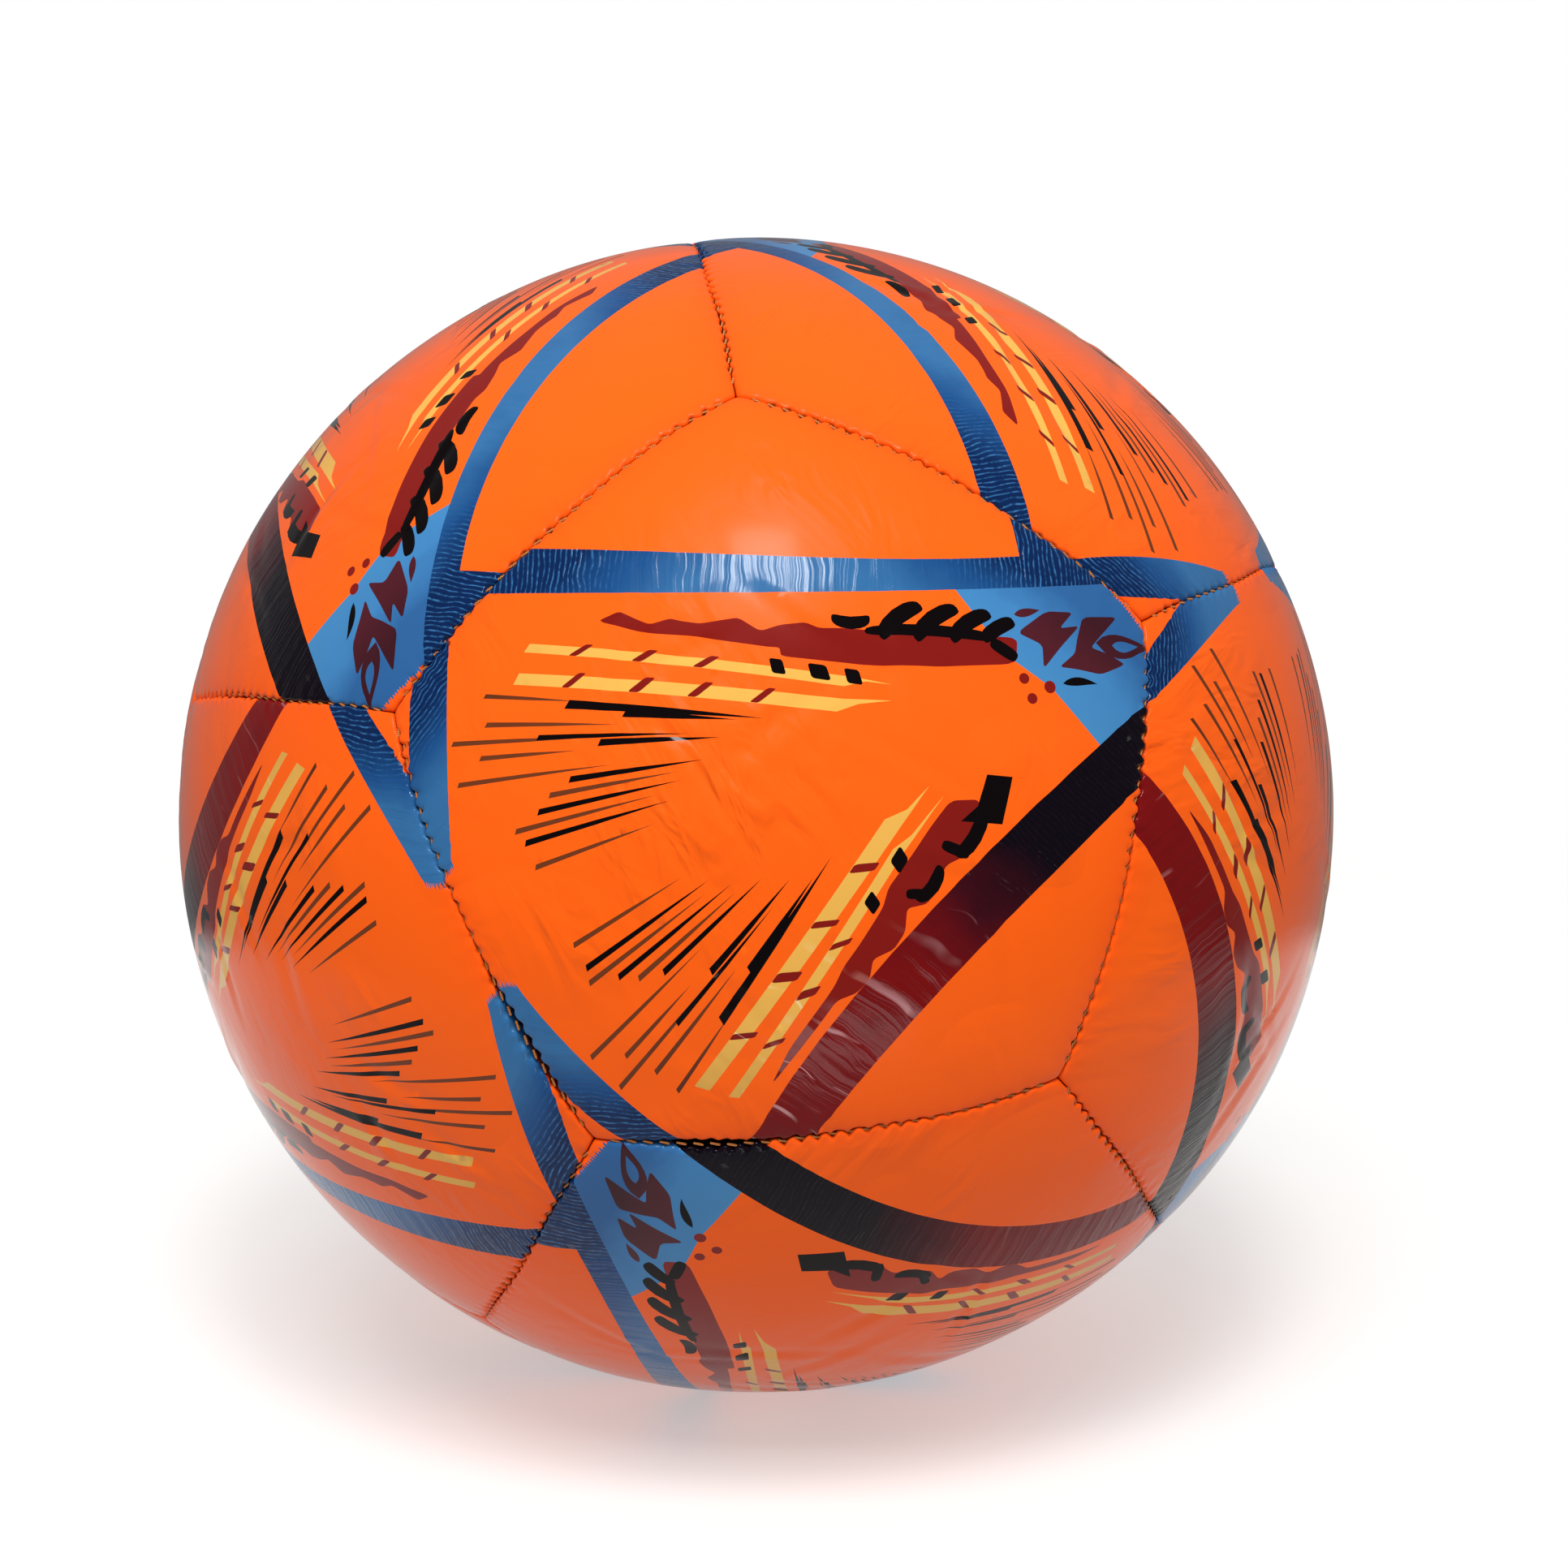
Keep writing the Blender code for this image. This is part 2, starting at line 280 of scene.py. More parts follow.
@dataclass(frozen=True)
class GlossInk:
    """Screen-printed ink under a clear gloss lacquer: brighter reflections than the film beside it."""

    name: str
    open_colour: str
    join_colour: str
    deep_colour: str
    # Painted highlights along the ribs.
    rib_highlight_colour: str = ""
    # Painted glints: pale lines along the lacquer's folds.
    crease_glint_colour: str = ""
    fade: str = "near_join"
    rib_pitch_mm: float = 0.95
    crease_mm: float = 9.0
    roughness: float = 0.13
    mirror: float = 0.42
    wrinkle_height: float = 0.035 * MM
    rib_relief: float = 1.4
    streak_relief: float = 8.0
    fold_relief: float = 15.0
    ior: float = 1.5

    def build(self) -> bpy.types.Material:
        """Builds the material.

        Returns:
            Glossy ink that deepens towards the joined seams, with fine ribs or creases across it that carry painted
            highlights and glints.
        """
        material, tree, shader = new_material(self.name)
        flat = add_node(tree, "ShaderNodeAttribute", {"attribute_name": "flat_mm"}).outputs["Vector"]
        join = add_node(tree, "ShaderNodeAttribute", {"attribute_name": self.fade}).outputs["Fac"]
        waver = add_node(tree, "ShaderNodeTexNoise", {"Scale": 0.13, "Detail": 4.0}, {"Vector": flat})
        uneven = add_node(
            tree,
            "ShaderNodeMath",
            {"operation": "MULTIPLY_ADD", 1: 0.3},
            {0: waver.outputs["Fac"], 2: join},
        )
        faded = add_node(
            tree, "ShaderNodeMath", {"operation": "SUBTRACT", 1: 0.15, "use_clamp": True}, {0: uneven.outputs[0]}
        )
        colour = add_node(tree, "ShaderNodeValToRGB", {}, {0: faded.outputs[0]})
        fill_ramp(colour, [(0.0, self.open_colour), (0.36, self.join_colour), (0.68, self.deep_colour)])
        shown, height = colour.outputs[0], waver.outputs["Fac"]
        if self.rib_highlight_colour:
            shown, height = self.add_ribs(tree, faded.outputs[0], shown, height)
        if self.crease_glint_colour:
            shown, height = self.add_creases(tree, flat, shown, height)
        tree.links.new(shown, shader.inputs["Base Color"])
        bump = add_node(
            tree, "ShaderNodeBump", {"Strength": 1.0, "Distance": self.wrinkle_height}, {"Height": height}
        )
        tree.links.new(bump.outputs[0], shader.inputs["Normal"])
        shader.inputs["Roughness"].default_value = self.roughness
        shader.inputs["IOR"].default_value = self.ior
        shader.inputs["Specular IOR Level"].default_value = self.mirror
        return material

    def add_ribs(
        self,
        tree: bpy.types.NodeTree,
        reach: bpy.types.NodeSocket,
        shown: bpy.types.NodeSocket,
        height: bpy.types.NodeSocket,
    ) -> tuple[bpy.types.NodeSocket, bpy.types.NodeSocket]:
        """Lays fine ribs across the band, fading out away from the joins: bumps, with painted highlights along their
        crests.

        Args:
            tree: The material's nodes.
            reach: 1 at a join, falling to 0.
            shown: The colour so far.
            height: The relief so far.

        Returns:
            The new colour and relief.
        """
        run = add_node(tree, "ShaderNodeAttribute", {"attribute_name": "band_run"}).outputs["Fac"]
        flat = add_node(tree, "ShaderNodeAttribute", {"attribute_name": "flat_mm"}).outputs["Vector"]
        sway = add_node(tree, "ShaderNodeTexNoise", {"Scale": 0.16, "Detail": 1.0}, {"Vector": flat})
        bent = add_node(
            tree, "ShaderNodeMath", {"operation": "MULTIPLY_ADD", 1: 2.2}, {0: sway.outputs["Fac"], 2: run}
        )
        phase = add_node(
            tree, "ShaderNodeMath", {"operation": "MULTIPLY", 1: math.tau / self.rib_pitch_mm}, {0: bent.outputs[0]}
        )
        wave = add_node(tree, "ShaderNodeMath", {"operation": "SINE"}, {0: phase.outputs[0]})
        broken = add_node(tree, "ShaderNodeTexNoise", {"Scale": 0.9, "Detail": 3.0}, {"Vector": flat})
        lines = add_node(
            tree,
            "ShaderNodeMapRange",
            {"From Min": 0.35, "From Max": 1.0, "To Min": 0.0, "To Max": 1.1},
            {"Value": wave.outputs[0]},
        )
        patchy = add_node(
            tree,
            "ShaderNodeMapRange",
            {"From Min": 0.38, "From Max": 0.66, "To Min": 0.08, "To Max": 0.75},
            {"Value": broken.outputs["Fac"]},
        )
        ends = add_node(tree, "ShaderNodeMapRange", {"From Min": 0.3, "From Max": 0.62}, {"Value": reach})
        inner = add_node(tree, "ShaderNodeMath", {"operation": "MULTIPLY"}, {0: lines.outputs[0], 1: ends.outputs[0]})
        strength = add_node(
            tree,
            "ShaderNodeMath",
            {"operation": "MULTIPLY", "use_clamp": True},
            {0: inner.outputs[0], 1: patchy.outputs[0]},
        )
        # Painted highlights: the rib colour is laid where the ribs rise.
        ribbed = add_node(
            tree, "ShaderNodeMix", {"data_type": "RGBA"}, {"Factor": strength.outputs[0], 6: shown}
        )
        ribbed.inputs[7].default_value = linear(self.rib_highlight_colour)
        relief = add_node(
            tree,
            "ShaderNodeMath",
            {"operation": "MULTIPLY_ADD", 1: self.rib_relief},
            {0: strength.outputs[0], 2: height},
        )
        along = add_node(tree, "ShaderNodeCombineXYZ", {}, {"X": bent.outputs[0]})
        drawn = add_node(tree, "ShaderNodeTexNoise", {"Scale": 0.5, "Detail": 5.0}, {"Vector": along.outputs[0]})
        streaked = add_node(
            tree,
            "ShaderNodeMath",
            {"operation": "MULTIPLY_ADD", 1: self.streak_relief},
            {0: drawn.outputs["Fac"], 2: relief.outputs[0]},
        )
        return ribbed.outputs[2], streaked.outputs[0]

    def add_creases(
        self,
        tree: bpy.types.NodeTree,
        flat: bpy.types.NodeSocket,
        shown: bpy.types.NodeSocket,
        height: bpy.types.NodeSocket,
    ) -> tuple[bpy.types.NodeSocket, bpy.types.NodeSocket]:
        """Crumples the lacquer where the panel is drawn tight, with painted glints: pale lines along the folds.

        Args:
            tree: The material's nodes.
            flat: Place on the flat panel, in millimetres.
            shown: The colour so far.
            height: The relief so far.

        Returns:
            The new colour and relief.
        """
        drawn = add_node(tree, "ShaderNodeAttribute", {"attribute_name": "crumpled_with_glints"}).outputs["Fac"]
        run = add_node(tree, "ShaderNodeAttribute", {"attribute_name": "end_run"}).outputs["Fac"]
        waver = add_node(tree, "ShaderNodeTexNoise", {"Scale": 0.11, "Detail": 1.0}, {"Vector": flat})
        bent = add_node(
            tree, "ShaderNodeMath", {"operation": "MULTIPLY_ADD", 1: 5.0}, {0: waver.outputs["Fac"], 2: run}
        )
        across = add_node(tree, "ShaderNodeCombineXYZ", {}, {"X": bent.outputs[0]})
        steps = add_node(
            tree, "ShaderNodeTexNoise", {"Scale": 1.6 / self.crease_mm, "Detail": 0.0}, {"Vector": across.outputs[0]}
        )
        ripple = add_node(tree, "ShaderNodeTexNoise", {"Scale": 0.21, "Detail": 1.0}, {"Vector": across.outputs[0]})
        uneven = add_node(
            tree,
            "ShaderNodeMath",
            {"operation": "MULTIPLY_ADD", 1: 1.1 * self.crease_mm},
            {0: steps.outputs["Fac"], 2: bent.outputs[0]},
        )
        turns = add_node(
            tree, "ShaderNodeMath", {"operation": "MULTIPLY", 1: math.tau / self.crease_mm}, {0: uneven.outputs[0]}
        )
        crest = add_node(tree, "ShaderNodeMath", {"operation": "SINE"}, {0: turns.outputs[0]})
        fold = add_node(
            tree,
            "ShaderNodeMapRange",
            {"From Min": 0.968, "From Max": 0.998, "To Max": 0.8},
            {"Value": crest.outputs[0]},
        )
        worn = add_node(tree, "ShaderNodeTexNoise", {"Scale": 0.14, "Detail": 1.0}, {"Vector": flat})
        share = add_node(
            tree, "ShaderNodeMapRange", {"From Min": 0.44, "From Max": 0.56}, {"Value": worn.outputs["Fac"]}
        )
        kept = add_node(
            tree, "ShaderNodeMath", {"operation": "MULTIPLY"}, {0: fold.outputs[0], 1: share.outputs[0]}
        )
        # Painted glints: pale lines along the crests of the folds, where the lacquer is crumpled.
        line = add_node(
            tree, "ShaderNodeMath", {"operation": "MULTIPLY", "use_clamp": True}, {0: kept.outputs[0], 1: drawn}
        )
        creased = add_node(tree, "ShaderNodeMix", {"data_type": "RGBA"}, {"Factor": line.outputs[0], 6: shown})
        creased.inputs[7].default_value = linear(self.crease_glint_colour)
        dent = add_node(tree, "ShaderNodeMath", {"operation": "MULTIPLY"}, {0: ripple.outputs["Fac"], 1: drawn})
        relief = add_node(
            tree,
            "ShaderNodeMath",
            {"operation": "MULTIPLY_ADD", 1: self.fold_relief},
            {0: dent.outputs[0], 2: height},
        )
        return creased.outputs[2], relief.outputs[0]


@dataclass(frozen=True)
class Cloth:
    """Woven polyester and cotton backing, or waxed thread: matt, with the weave's fine ribs."""

    name: str
    colour: str
    shade: str
    pitch: float
    roughness: float = 0.85

    def build(self) -> bpy.types.Material:
        """Builds the material.

        Returns:
            Matt cloth with crossing ribs one thread apart, and painted shade where the weave sinks between them.
        """
        material, tree, shader = new_material(self.name)
        place = add_node(tree, "ShaderNodeTexCoord").outputs["Object"]
        warp = add_node(
            tree,
            "ShaderNodeTexWave",
            {"bands_direction": "X", "Scale": 0.314 / self.pitch, "Distortion": 0.6},
            {"Vector": place},
        )
        weft = add_node(
            tree,
            "ShaderNodeTexWave",
            {"bands_direction": "Z", "Scale": 0.314 / self.pitch, "Distortion": 0.6},
            {"Vector": place},
        )
        weave = add_node(
            tree,
            "ShaderNodeMath",
            {"operation": "MULTIPLY"},
            {0: warp.outputs["Fac"], 1: weft.outputs["Fac"]},
        )
        # Painted shade: darker where the weave sinks between the threads.
        colour = add_node(tree, "ShaderNodeValToRGB", {}, {0: weave.outputs[0]})
        fill_ramp(colour, [(0.0, self.shade), (0.7, self.colour)])
        tree.links.new(colour.outputs[0], shader.inputs["Base Color"])
        bump = add_node(
            tree, "ShaderNodeBump", {"Strength": 0.6, "Distance": 0.1 * MM}, {"Height": weave.outputs[0]}
        )
        tree.links.new(bump.outputs[0], shader.inputs["Normal"])
        shader.inputs["Roughness"].default_value = self.roughness
        return material


@dataclass(frozen=True)
class MouldedSoft:
    """Moulded butyl rubber or cut EVA foam: matt, with fine grain or cells."""

    name: str
    colour: str
    worn: str
    grain: float
    roughness: float
    height: float = 0.05 * MM

    def build(self) -> bpy.types.Material:
        """Builds the material.

        Returns:
            A matt moulded surface, cloudy between its two colours.
        """
        material, tree, shader = new_material(self.name)
        place = add_node(tree, "ShaderNodeTexCoord").outputs["Object"]
        clouds = add_node(tree, "ShaderNodeTexNoise", {"Scale": 60.0, "Detail": 4.0}, {"Vector": place})
        colour = add_node(tree, "ShaderNodeValToRGB", {}, {0: clouds.outputs["Fac"]})
        fill_ramp(colour, [(0.3, self.colour), (0.75, self.worn)])
        tree.links.new(colour.outputs[0], shader.inputs["Base Color"])
        cells = add_node(tree, "ShaderNodeTexVoronoi", {"Scale": 1 / self.grain}, {"Vector": place})
        bump = add_node(
            tree,
            "ShaderNodeBump",
            {"Strength": 0.5, "Distance": self.height},
            {"Height": cells.outputs["Distance"]},
        )
        tree.links.new(bump.outputs[0], shader.inputs["Normal"])
        shader.inputs["Roughness"].default_value = self.roughness
        return material


# The bands are glossy and ribbed or creased, the small strokes smooth, and the umber dashes dull and half soaked in.
# Crease colours are painted glints on the crumpled lacquer.
INKS: dict[Ink, OrangeFilm | GlossInk] = {
    Ink.ORANGE: OrangeFilm(),
    # Rib colours are painted highlights along the ribs.
    Ink.BLUE: GlossInk("gloss_ink_blue", "336B9E", "174A82", "04224F", rib_highlight_colour="3C7CB6"),
    Ink.WINE: GlossInk(
        "gloss_ink_wine",
        "780C0E",
        "3C0714",
        "0A0510",
        rib_highlight_colour="1E0916",
        crease_glint_colour="D29A9C",
        fade="near_tip",
        mirror=0.3,
    ),
    Ink.SKY: GlossInk("gloss_ink_sky_blue", "4487BC", "3F80B8", "2C6098"),
    Ink.CREAM: GlossInk("gloss_ink_cream", "EBB250", "E6AE50", "D8A24C", crease_glint_colour="FFF0C8"),
    Ink.RUST: GlossInk("gloss_ink_rust", "82150F", "7A130F", "5E1014", crease_glint_colour="C88A80"),
    Ink.BLACK: GlossInk("gloss_ink_black", "0A0507", "0A0507", "080410", mirror=0.25),
    Ink.UMBER: GlossInk("gloss_ink_umber", "6E3413", "683012", "562610", roughness=0.35),
    Ink.PLUM: GlossInk("gloss_ink_plum", "521C26", "4E1A24", "3C141E"),
}


# The printed artwork, in millimetres on the flat panel, its apex up.


def bow(start: Point, middle: Point, end: Point, steps: int = 12) -> list[Point]:
    """Points along the parabola through three points.

    Args:
        start: The first point.
        middle: The point half way.
        end: The last point.
        steps: How many stretches the curve is cut into.

    Returns:
        steps + 1 points.
    """
    points = []
    for step in range(steps + 1):
        t = step / steps
        a, b, c = (2 * t - 1) * (t - 1), 4 * t * (1 - t), t * (2 * t - 1)
        points.append(tuple(a * p + b * q + c * r for p, q, r in zip(start, middle, end)))
    return points


def brushed(outline: list[Point], cut: float = 0.24) -> list[Point]:
    """Cuts an outline's corners twice, as a wet brush rounds them.

    Args:
        outline: The corners.
        cut: The share of each side that is cut away.

    Returns:
        The rounder outline.
    """
    for _ in range(2):
        rounder = []
        for (x0, y0), (x1, y1) in zip(outline, outline[1:] + outline[:1]):
            rounder.append((x0 + (x1 - x0) * cut, y0 + (y1 - y0) * cut))
            rounder.append((x1 - (x1 - x0) * cut, y1 - (y1 - y0) * cut))
        outline = rounder
    return outline


def frayed(start: Point, end: Point, depth: float, count: int, arch: float = 0.0) -> list[Point]:
    """A brushed edge: a row of bristle marks of uneven length.

    Args:
        start: Where the edge starts.
        end: Where it ends.
        depth: The longest bristle mark, to the left of the edge.
        count: How many marks.
        arch: How far the edge itself bulges to the left.

    Returns:
        The points between the ends.
    """
    along = Vector((end[0] - start[0], end[1] - start[1]))
    left = Vector((-along.y, along.x)).normalized()
    points = []
    for step in range(1, 2 * count):
        reach = depth * (0.35 + 0.65 * abs(math.sin(2.3 * step))) if step % 2 else 0.0
        reach += arch * math.sin(math.pi * step / (2 * count)) ** 0.6
        spot = Vector(start) + along * step / (2 * count) + left * reach
        points.append((spot.x, spot.y))
    return points


def press(foot: Point, tip: Point, width: float, lean: float = 0.0) -> list[Point]:
    """One press of a full round brush: an even stroke with round ends.

    Args:
        foot: Where the stroke starts.
        tip: Where it ends.
        width: Its width.
        lean: How far its middle bends to the left, as a share of its length.

    Returns:
        Its outline.
    """
    along = Vector((tip[0] - foot[0], tip[1] - foot[1]))
    left = Vector((-along.y, along.x)).normalized()
    points = []
    for step in range(20):
        turn = math.tau * step / 20
        t = 0.5 - 0.5 * math.copysign(abs(math.cos(turn)) ** 0.6, math.cos(turn))
        half = width / 2 * math.copysign(abs(math.sin(turn)) ** 0.6, math.sin(turn))
        spot = Vector(foot) + along * t + left * (half + lean * along.length * 4 * t * (1 - t))
        points.append((spot.x, spot.y))
    return points


def leaf(foot: Point, tip: Point, width: float, lean: float = 0.0) -> list[Point]:
    """A pointed leaf, as one press of a flat brush leaves it.

    Args:
        foot: Where the stroke starts.
        tip: Where it ends.
        width: Its greatest width.
        lean: How far its middle bends to the left, as a share of its length.

    Returns:
        Its outline.
    """
    along = Vector((tip[0] - foot[0], tip[1] - foot[1]))
    left = Vector((-along.y, along.x)).normalized()
    points = []
    for side, shares in ((1, range(0, 9)), (-1, range(8, 0, -1))):
        for step in shares:
            t = step / 8
            swell = width / 2 * math.sin(math.pi * t**0.75) * side
            spot = Vector(foot) + along * t + left * (swell + lean * along.length * 4 * t * (1 - t))
            points.append((spot.x, spot.y))
    return points


@dataclass(frozen=True)
class PrintShape:
    """One inked outline on the flat panel."""

    ink: Ink
    outline: list[Point]

    def holds(self, points: np.ndarray) -> np.ndarray:
        """Tells which points lie inside the outline.

        Args:
            points: N by 2, in millimetres.

        Returns:
            N true or false values.
        """
        inside = np.zeros(len(points), bool)
        x, y = points[:, 0], points[:, 1]
        for (x0, y0), (x1, y1) in zip(self.outline, self.outline[1:] + self.outline[:1]):
            if y0 == y1:
                continue
            crosses = (y0 > y) != (y1 > y)
            inside ^= crosses & (x < (x1 - x0) * (y - y0) / (y1 - y0) + x0)
        return inside


@dataclass(frozen=True)
class Stripe:
    """A long cream stripe: a cut end, an even body, and a thin tail on one edge."""

    start: Point
    shoulder: Point
    tip: Point
    width: float
    inner: float
    ticks: tuple[float, ...]
    blots: tuple[float, ...] = ()

    def frame(self) -> tuple[Vector, Vector, Vector]:
        """The stripe's own axes.

        Returns:
            Its foot, its unit along and its unit across, towards the inner edge.
        """
        foot = Vector(self.start)
        along = (Vector(self.shoulder) - foot).normalized()
        return foot, along, Vector((along.y, -along.x)) * self.inner

    def body(self) -> list[Point]:
        """Draws the stripe itself.

        Returns:
            Its outline.
        """
        foot, along, across = self.frame()
        shoulder, half = Vector(self.shoulder), self.width / 2
        corners = [
            foot - across * half * 0.9,
            shoulder - across * half,
            Vector(self.tip),
            shoulder - across * half * 0.5 + along * 2.6,
            shoulder + across * half - along * 0.8,
            foot + across * half * 0.9 - along * 0.8,
        ]
        return [(c.x, c.y) for c in corners]

    def marks(
        self, shares: tuple[float, ...], thick: float, slant: float, out: float, inner: float = 0.46
    ) -> list[list[Point]]:
        """Short slanted marks over the stripe.

        Args:
            shares: Where each lies, from 0 at the foot to 1 at the shoulder.
            thick: The mark's thickness.
            slant: How far its inner end lies behind its outer end.
            out: How far the marks reach past the stripe's outer edge.
            inner: How far they reach in from the stripe's middle line, as a share of its width.

        Returns:
            One outline for each.
        """
        foot, along, across = self.frame()
        length = (Vector(self.shoulder) - foot).length
        found = []
        for share in shares:
            spot = foot + along * length * share
            low = spot + across * self.width * inner - along * slant / 2
            high = spot - across * (self.width / 2 + out) + along * slant / 2
            wide = thick * (1.25 - 0.5 * abs(math.sin(7 * share)))
            corners = (low, low + along * wide, high + along * wide * 0.8, high - along * wide * 0.15)
            found.append(brushed([(c.x, c.y) for c in corners], 0.12))
        return found


@dataclass
class Artwork:
    """The print that every panel carries: bands, a corner patch, stripes, streaks and dashes."""

    shapes: list[PrintShape] = field(default_factory=list)
    fan_middle: Point = (1.0, 20.0)

    def add(self, ink: Ink, *outlines: list[Point]) -> None:
        """Lays more outlines over those already there."""
        self.shapes += [PrintShape(ink, outline) for outline in outlines]

    def compose(self) -> "Artwork":
        """Lays out every shape, the lowest first.

        Returns:
            The artwork itself.
        """
        self.add_patch()
        self.add_bands()
        self.add_left_streak()
        self.add_right_streak()
        self.add_patch_strokes()
        self.add_stripes()
        self.add_fan(-1, 0.0)
        self.add_fan(1, 1.5)
        return self

    def add_patch(self) -> None:
        """The sky-blue corner patch, with a brushed edge where it stops short of the apex."""
        lower = [(-18.0, 38.2), (-9.5, 40.0), (-3.5, 41.6), (4.0, 46.4), (18.5, 51.4)]
        upper = [(17.0, 66.0), (9.0, 70.6), (6.0, 71.6)]
        upper += frayed((5.6, 71.4), (-9.0, 66.2), -1.0, 24) + [(-13.0, 62.0)]
        self.add(Ink.SKY, lower + upper)

    def add_bands(self) -> None:
        """The four bands that cut off the panel's corners."""
        left_inner = bow((-8.0, 69.0), (-27.0, 15.0), (-57.0, -41.0))
        left_outer = bow((-63.0, -33.5), (-34.7, 13.5), (-18.8, 52.5))
        self.add(Ink.BLUE, left_inner + left_outer + [(-29.5, 56.5), (-29.5, 63.0), (-18.0, 68.0)])
        right_inner = bow((12.5, 68.0), (32.0, 2.5), (59.0, -38.5))
        right_outer = bow((62.5, -30.0), (41.0, 8.5), (24.0, 64.0))
        self.add(Ink.WINE, right_inner + right_outer)
        foot_left = bow((-58.0, -38.5), (-34.0, -49.0), (-13.0, -57.8))
        foot_left_outer = bow((-13.5, -64.0), (-31.0, -58.6), (-54.0, -47.6))
        self.add(Ink.BLUE, foot_left + frayed((-12.6, -58.0), (-13.2, -63.8), 1.5, 15, 1.3) + foot_left_outer)
        foot_right = bow((53.0, -41.5), (31.0, -51.0), (12.6, -56.6))
        foot_right_outer = bow((12.2, -64.0), (29.0, -60.0), (49.0, -50.0))
        self.add(Ink.BLUE, foot_right + frayed((12.2, -56.8), (11.8, -63.8), -1.5, 17, -1.5) + foot_right_outer)

    def add_stripes(self) -> None:
        """Two pairs of long stripes, crossed by short ticks and blots."""
        stripes = (
            Stripe((-39.2, -30.2), (-10.6, 14.6), (-7.4, 20.8), 1.7, 1, (0.16, 0.36, 0.55), (0.76, 0.88, 0.99)),
            Stripe((-35.2, -34.0), (-7.6, 11.8), (-5.0, 19.6), 2.2, 1, (0.17, 0.38, 0.56, 0.75)),
            Stripe((39.9, -35.2), (12.6, 11.6), (10.0, 19.2), 2.8, -1, (0.2, 0.42, 0.62, 0.82)),
            Stripe((43.6, -31.0), (17.0, 10.6), (12.4, 20.8), 1.8, -1, (0.22, 0.42, 0.62), (0.78, 0.94)),
        )
        for stripe in stripes:
            self.add(Ink.CREAM, stripe.body())
            self.add(Ink.RUST, *stripe.marks(stripe.ticks, 1.8, 3.0, 0.5))
            self.add(Ink.BLACK, *stripe.marks(stripe.blots, 2.7, -0.5, 1.3, 0.14))

    def add_left_streak(self) -> None:
        """The ragged streak beside the blue band, with black brush presses along it."""
        edge = [(-37.8, -18.0), (-37.6, -14.0), (-35.6, -12.4), (-33.2, -10.4), (-32.6, -7.0), (-31.4, -5.6)]
        edge += [(-29.6, -3.0), (-28.6, 0.4), (-27.8, 3.0), (-24.2, 5.2), (-23.8, 8.6), (-22.6, 12.4)]
        edge += [(-20.6, 14.2), (-18.6, 18.4), (-13.4, 28.0), (-9.6, 36.6), (-6.0, 44.6), (-2.0, 42.2)]
        edge += [(-6.6, 30.0), (-11.8, 18.6), (-15.4, 12.4), (-19.0, 6.4), (-20.4, 6.8), (-21.4, 5.0)]
        edge += [(-24.6, 0.2), (-28.0, -4.6), (-32.0, -11.4)]
        self.add(Ink.RUST, brushed(edge, 0.13))
        for foot, tip, width, lean in (
            ((-21.4, 16.6), (-18.6, 22.4), 2.2, -0.12),
            ((-17.2, 20.6), (-7.2, 41.0), 2.0, 0.03),
            ((-15.2, 22.6), (-17.4, 31.4), 2.9, 0.10),
            ((-12.6, 27.8), (-14.6, 37.0), 2.9, 0.10),
            ((-10.0, 33.4), (-11.6, 42.0), 2.8, 0.10),
            ((-8.0, 38.6), (-8.8, 45.4), 2.6, 0.06),
            ((-7.2, 39.8), (-2.8, 42.8), 2.2, 0.0),
        ):
            self.add(Ink.BLACK, press(foot, tip, width, lean))

    def add_right_streak(self) -> None:
        """The ragged streak beside the wine band, ending in a black block."""
        edge = [(13.6, 21.4), (15.6, 26.2), (20.0, 24.0), (22.8, 20.8), (22.8, 16.4), (25.4, 13.8), (27.2, 11.0)]
        edge += [(26.4, 7.6), (29.8, 5.8), (31.6, 3.0), (31.6, -0.8), (34.4, -2.6), (35.6, -5.4), (35.4, -9.0)]
        edge += [(37.9, -13.2), (40.4, -17.6), (44.4, -24.8), (39.4, -19.0), (33.2, -8.6), (30.6, -5.6)]
        edge += [(28.4, -1.8), (24.6, 4.0), (22.0, 6.2), (19.6, 10.6), (16.4, 16.0)]
        self.add(Ink.RUST, brushed(edge, 0.13))
        self.add(Ink.BLACK, [(12.4, 29.0), (14.6, 33.0), (20.9, 28.0), (17.4, 21.6), (16.4, 25.4)])
        for foot, tip, width, lean in (
            ((17.6, 26.0), (22.4, 18.6), 2.6, 0.10),
            ((19.4, 17.2), (23.0, 20.6), 1.9, 0.0),
            ((22.6, 15.6), (26.0, 9.6), 2.3, 0.12),
            ((25.6, 11.4), (24.2, 8.4), 1.7, 0.0),
        ):
            self.add(Ink.BLACK, press(foot, tip, width, lean))

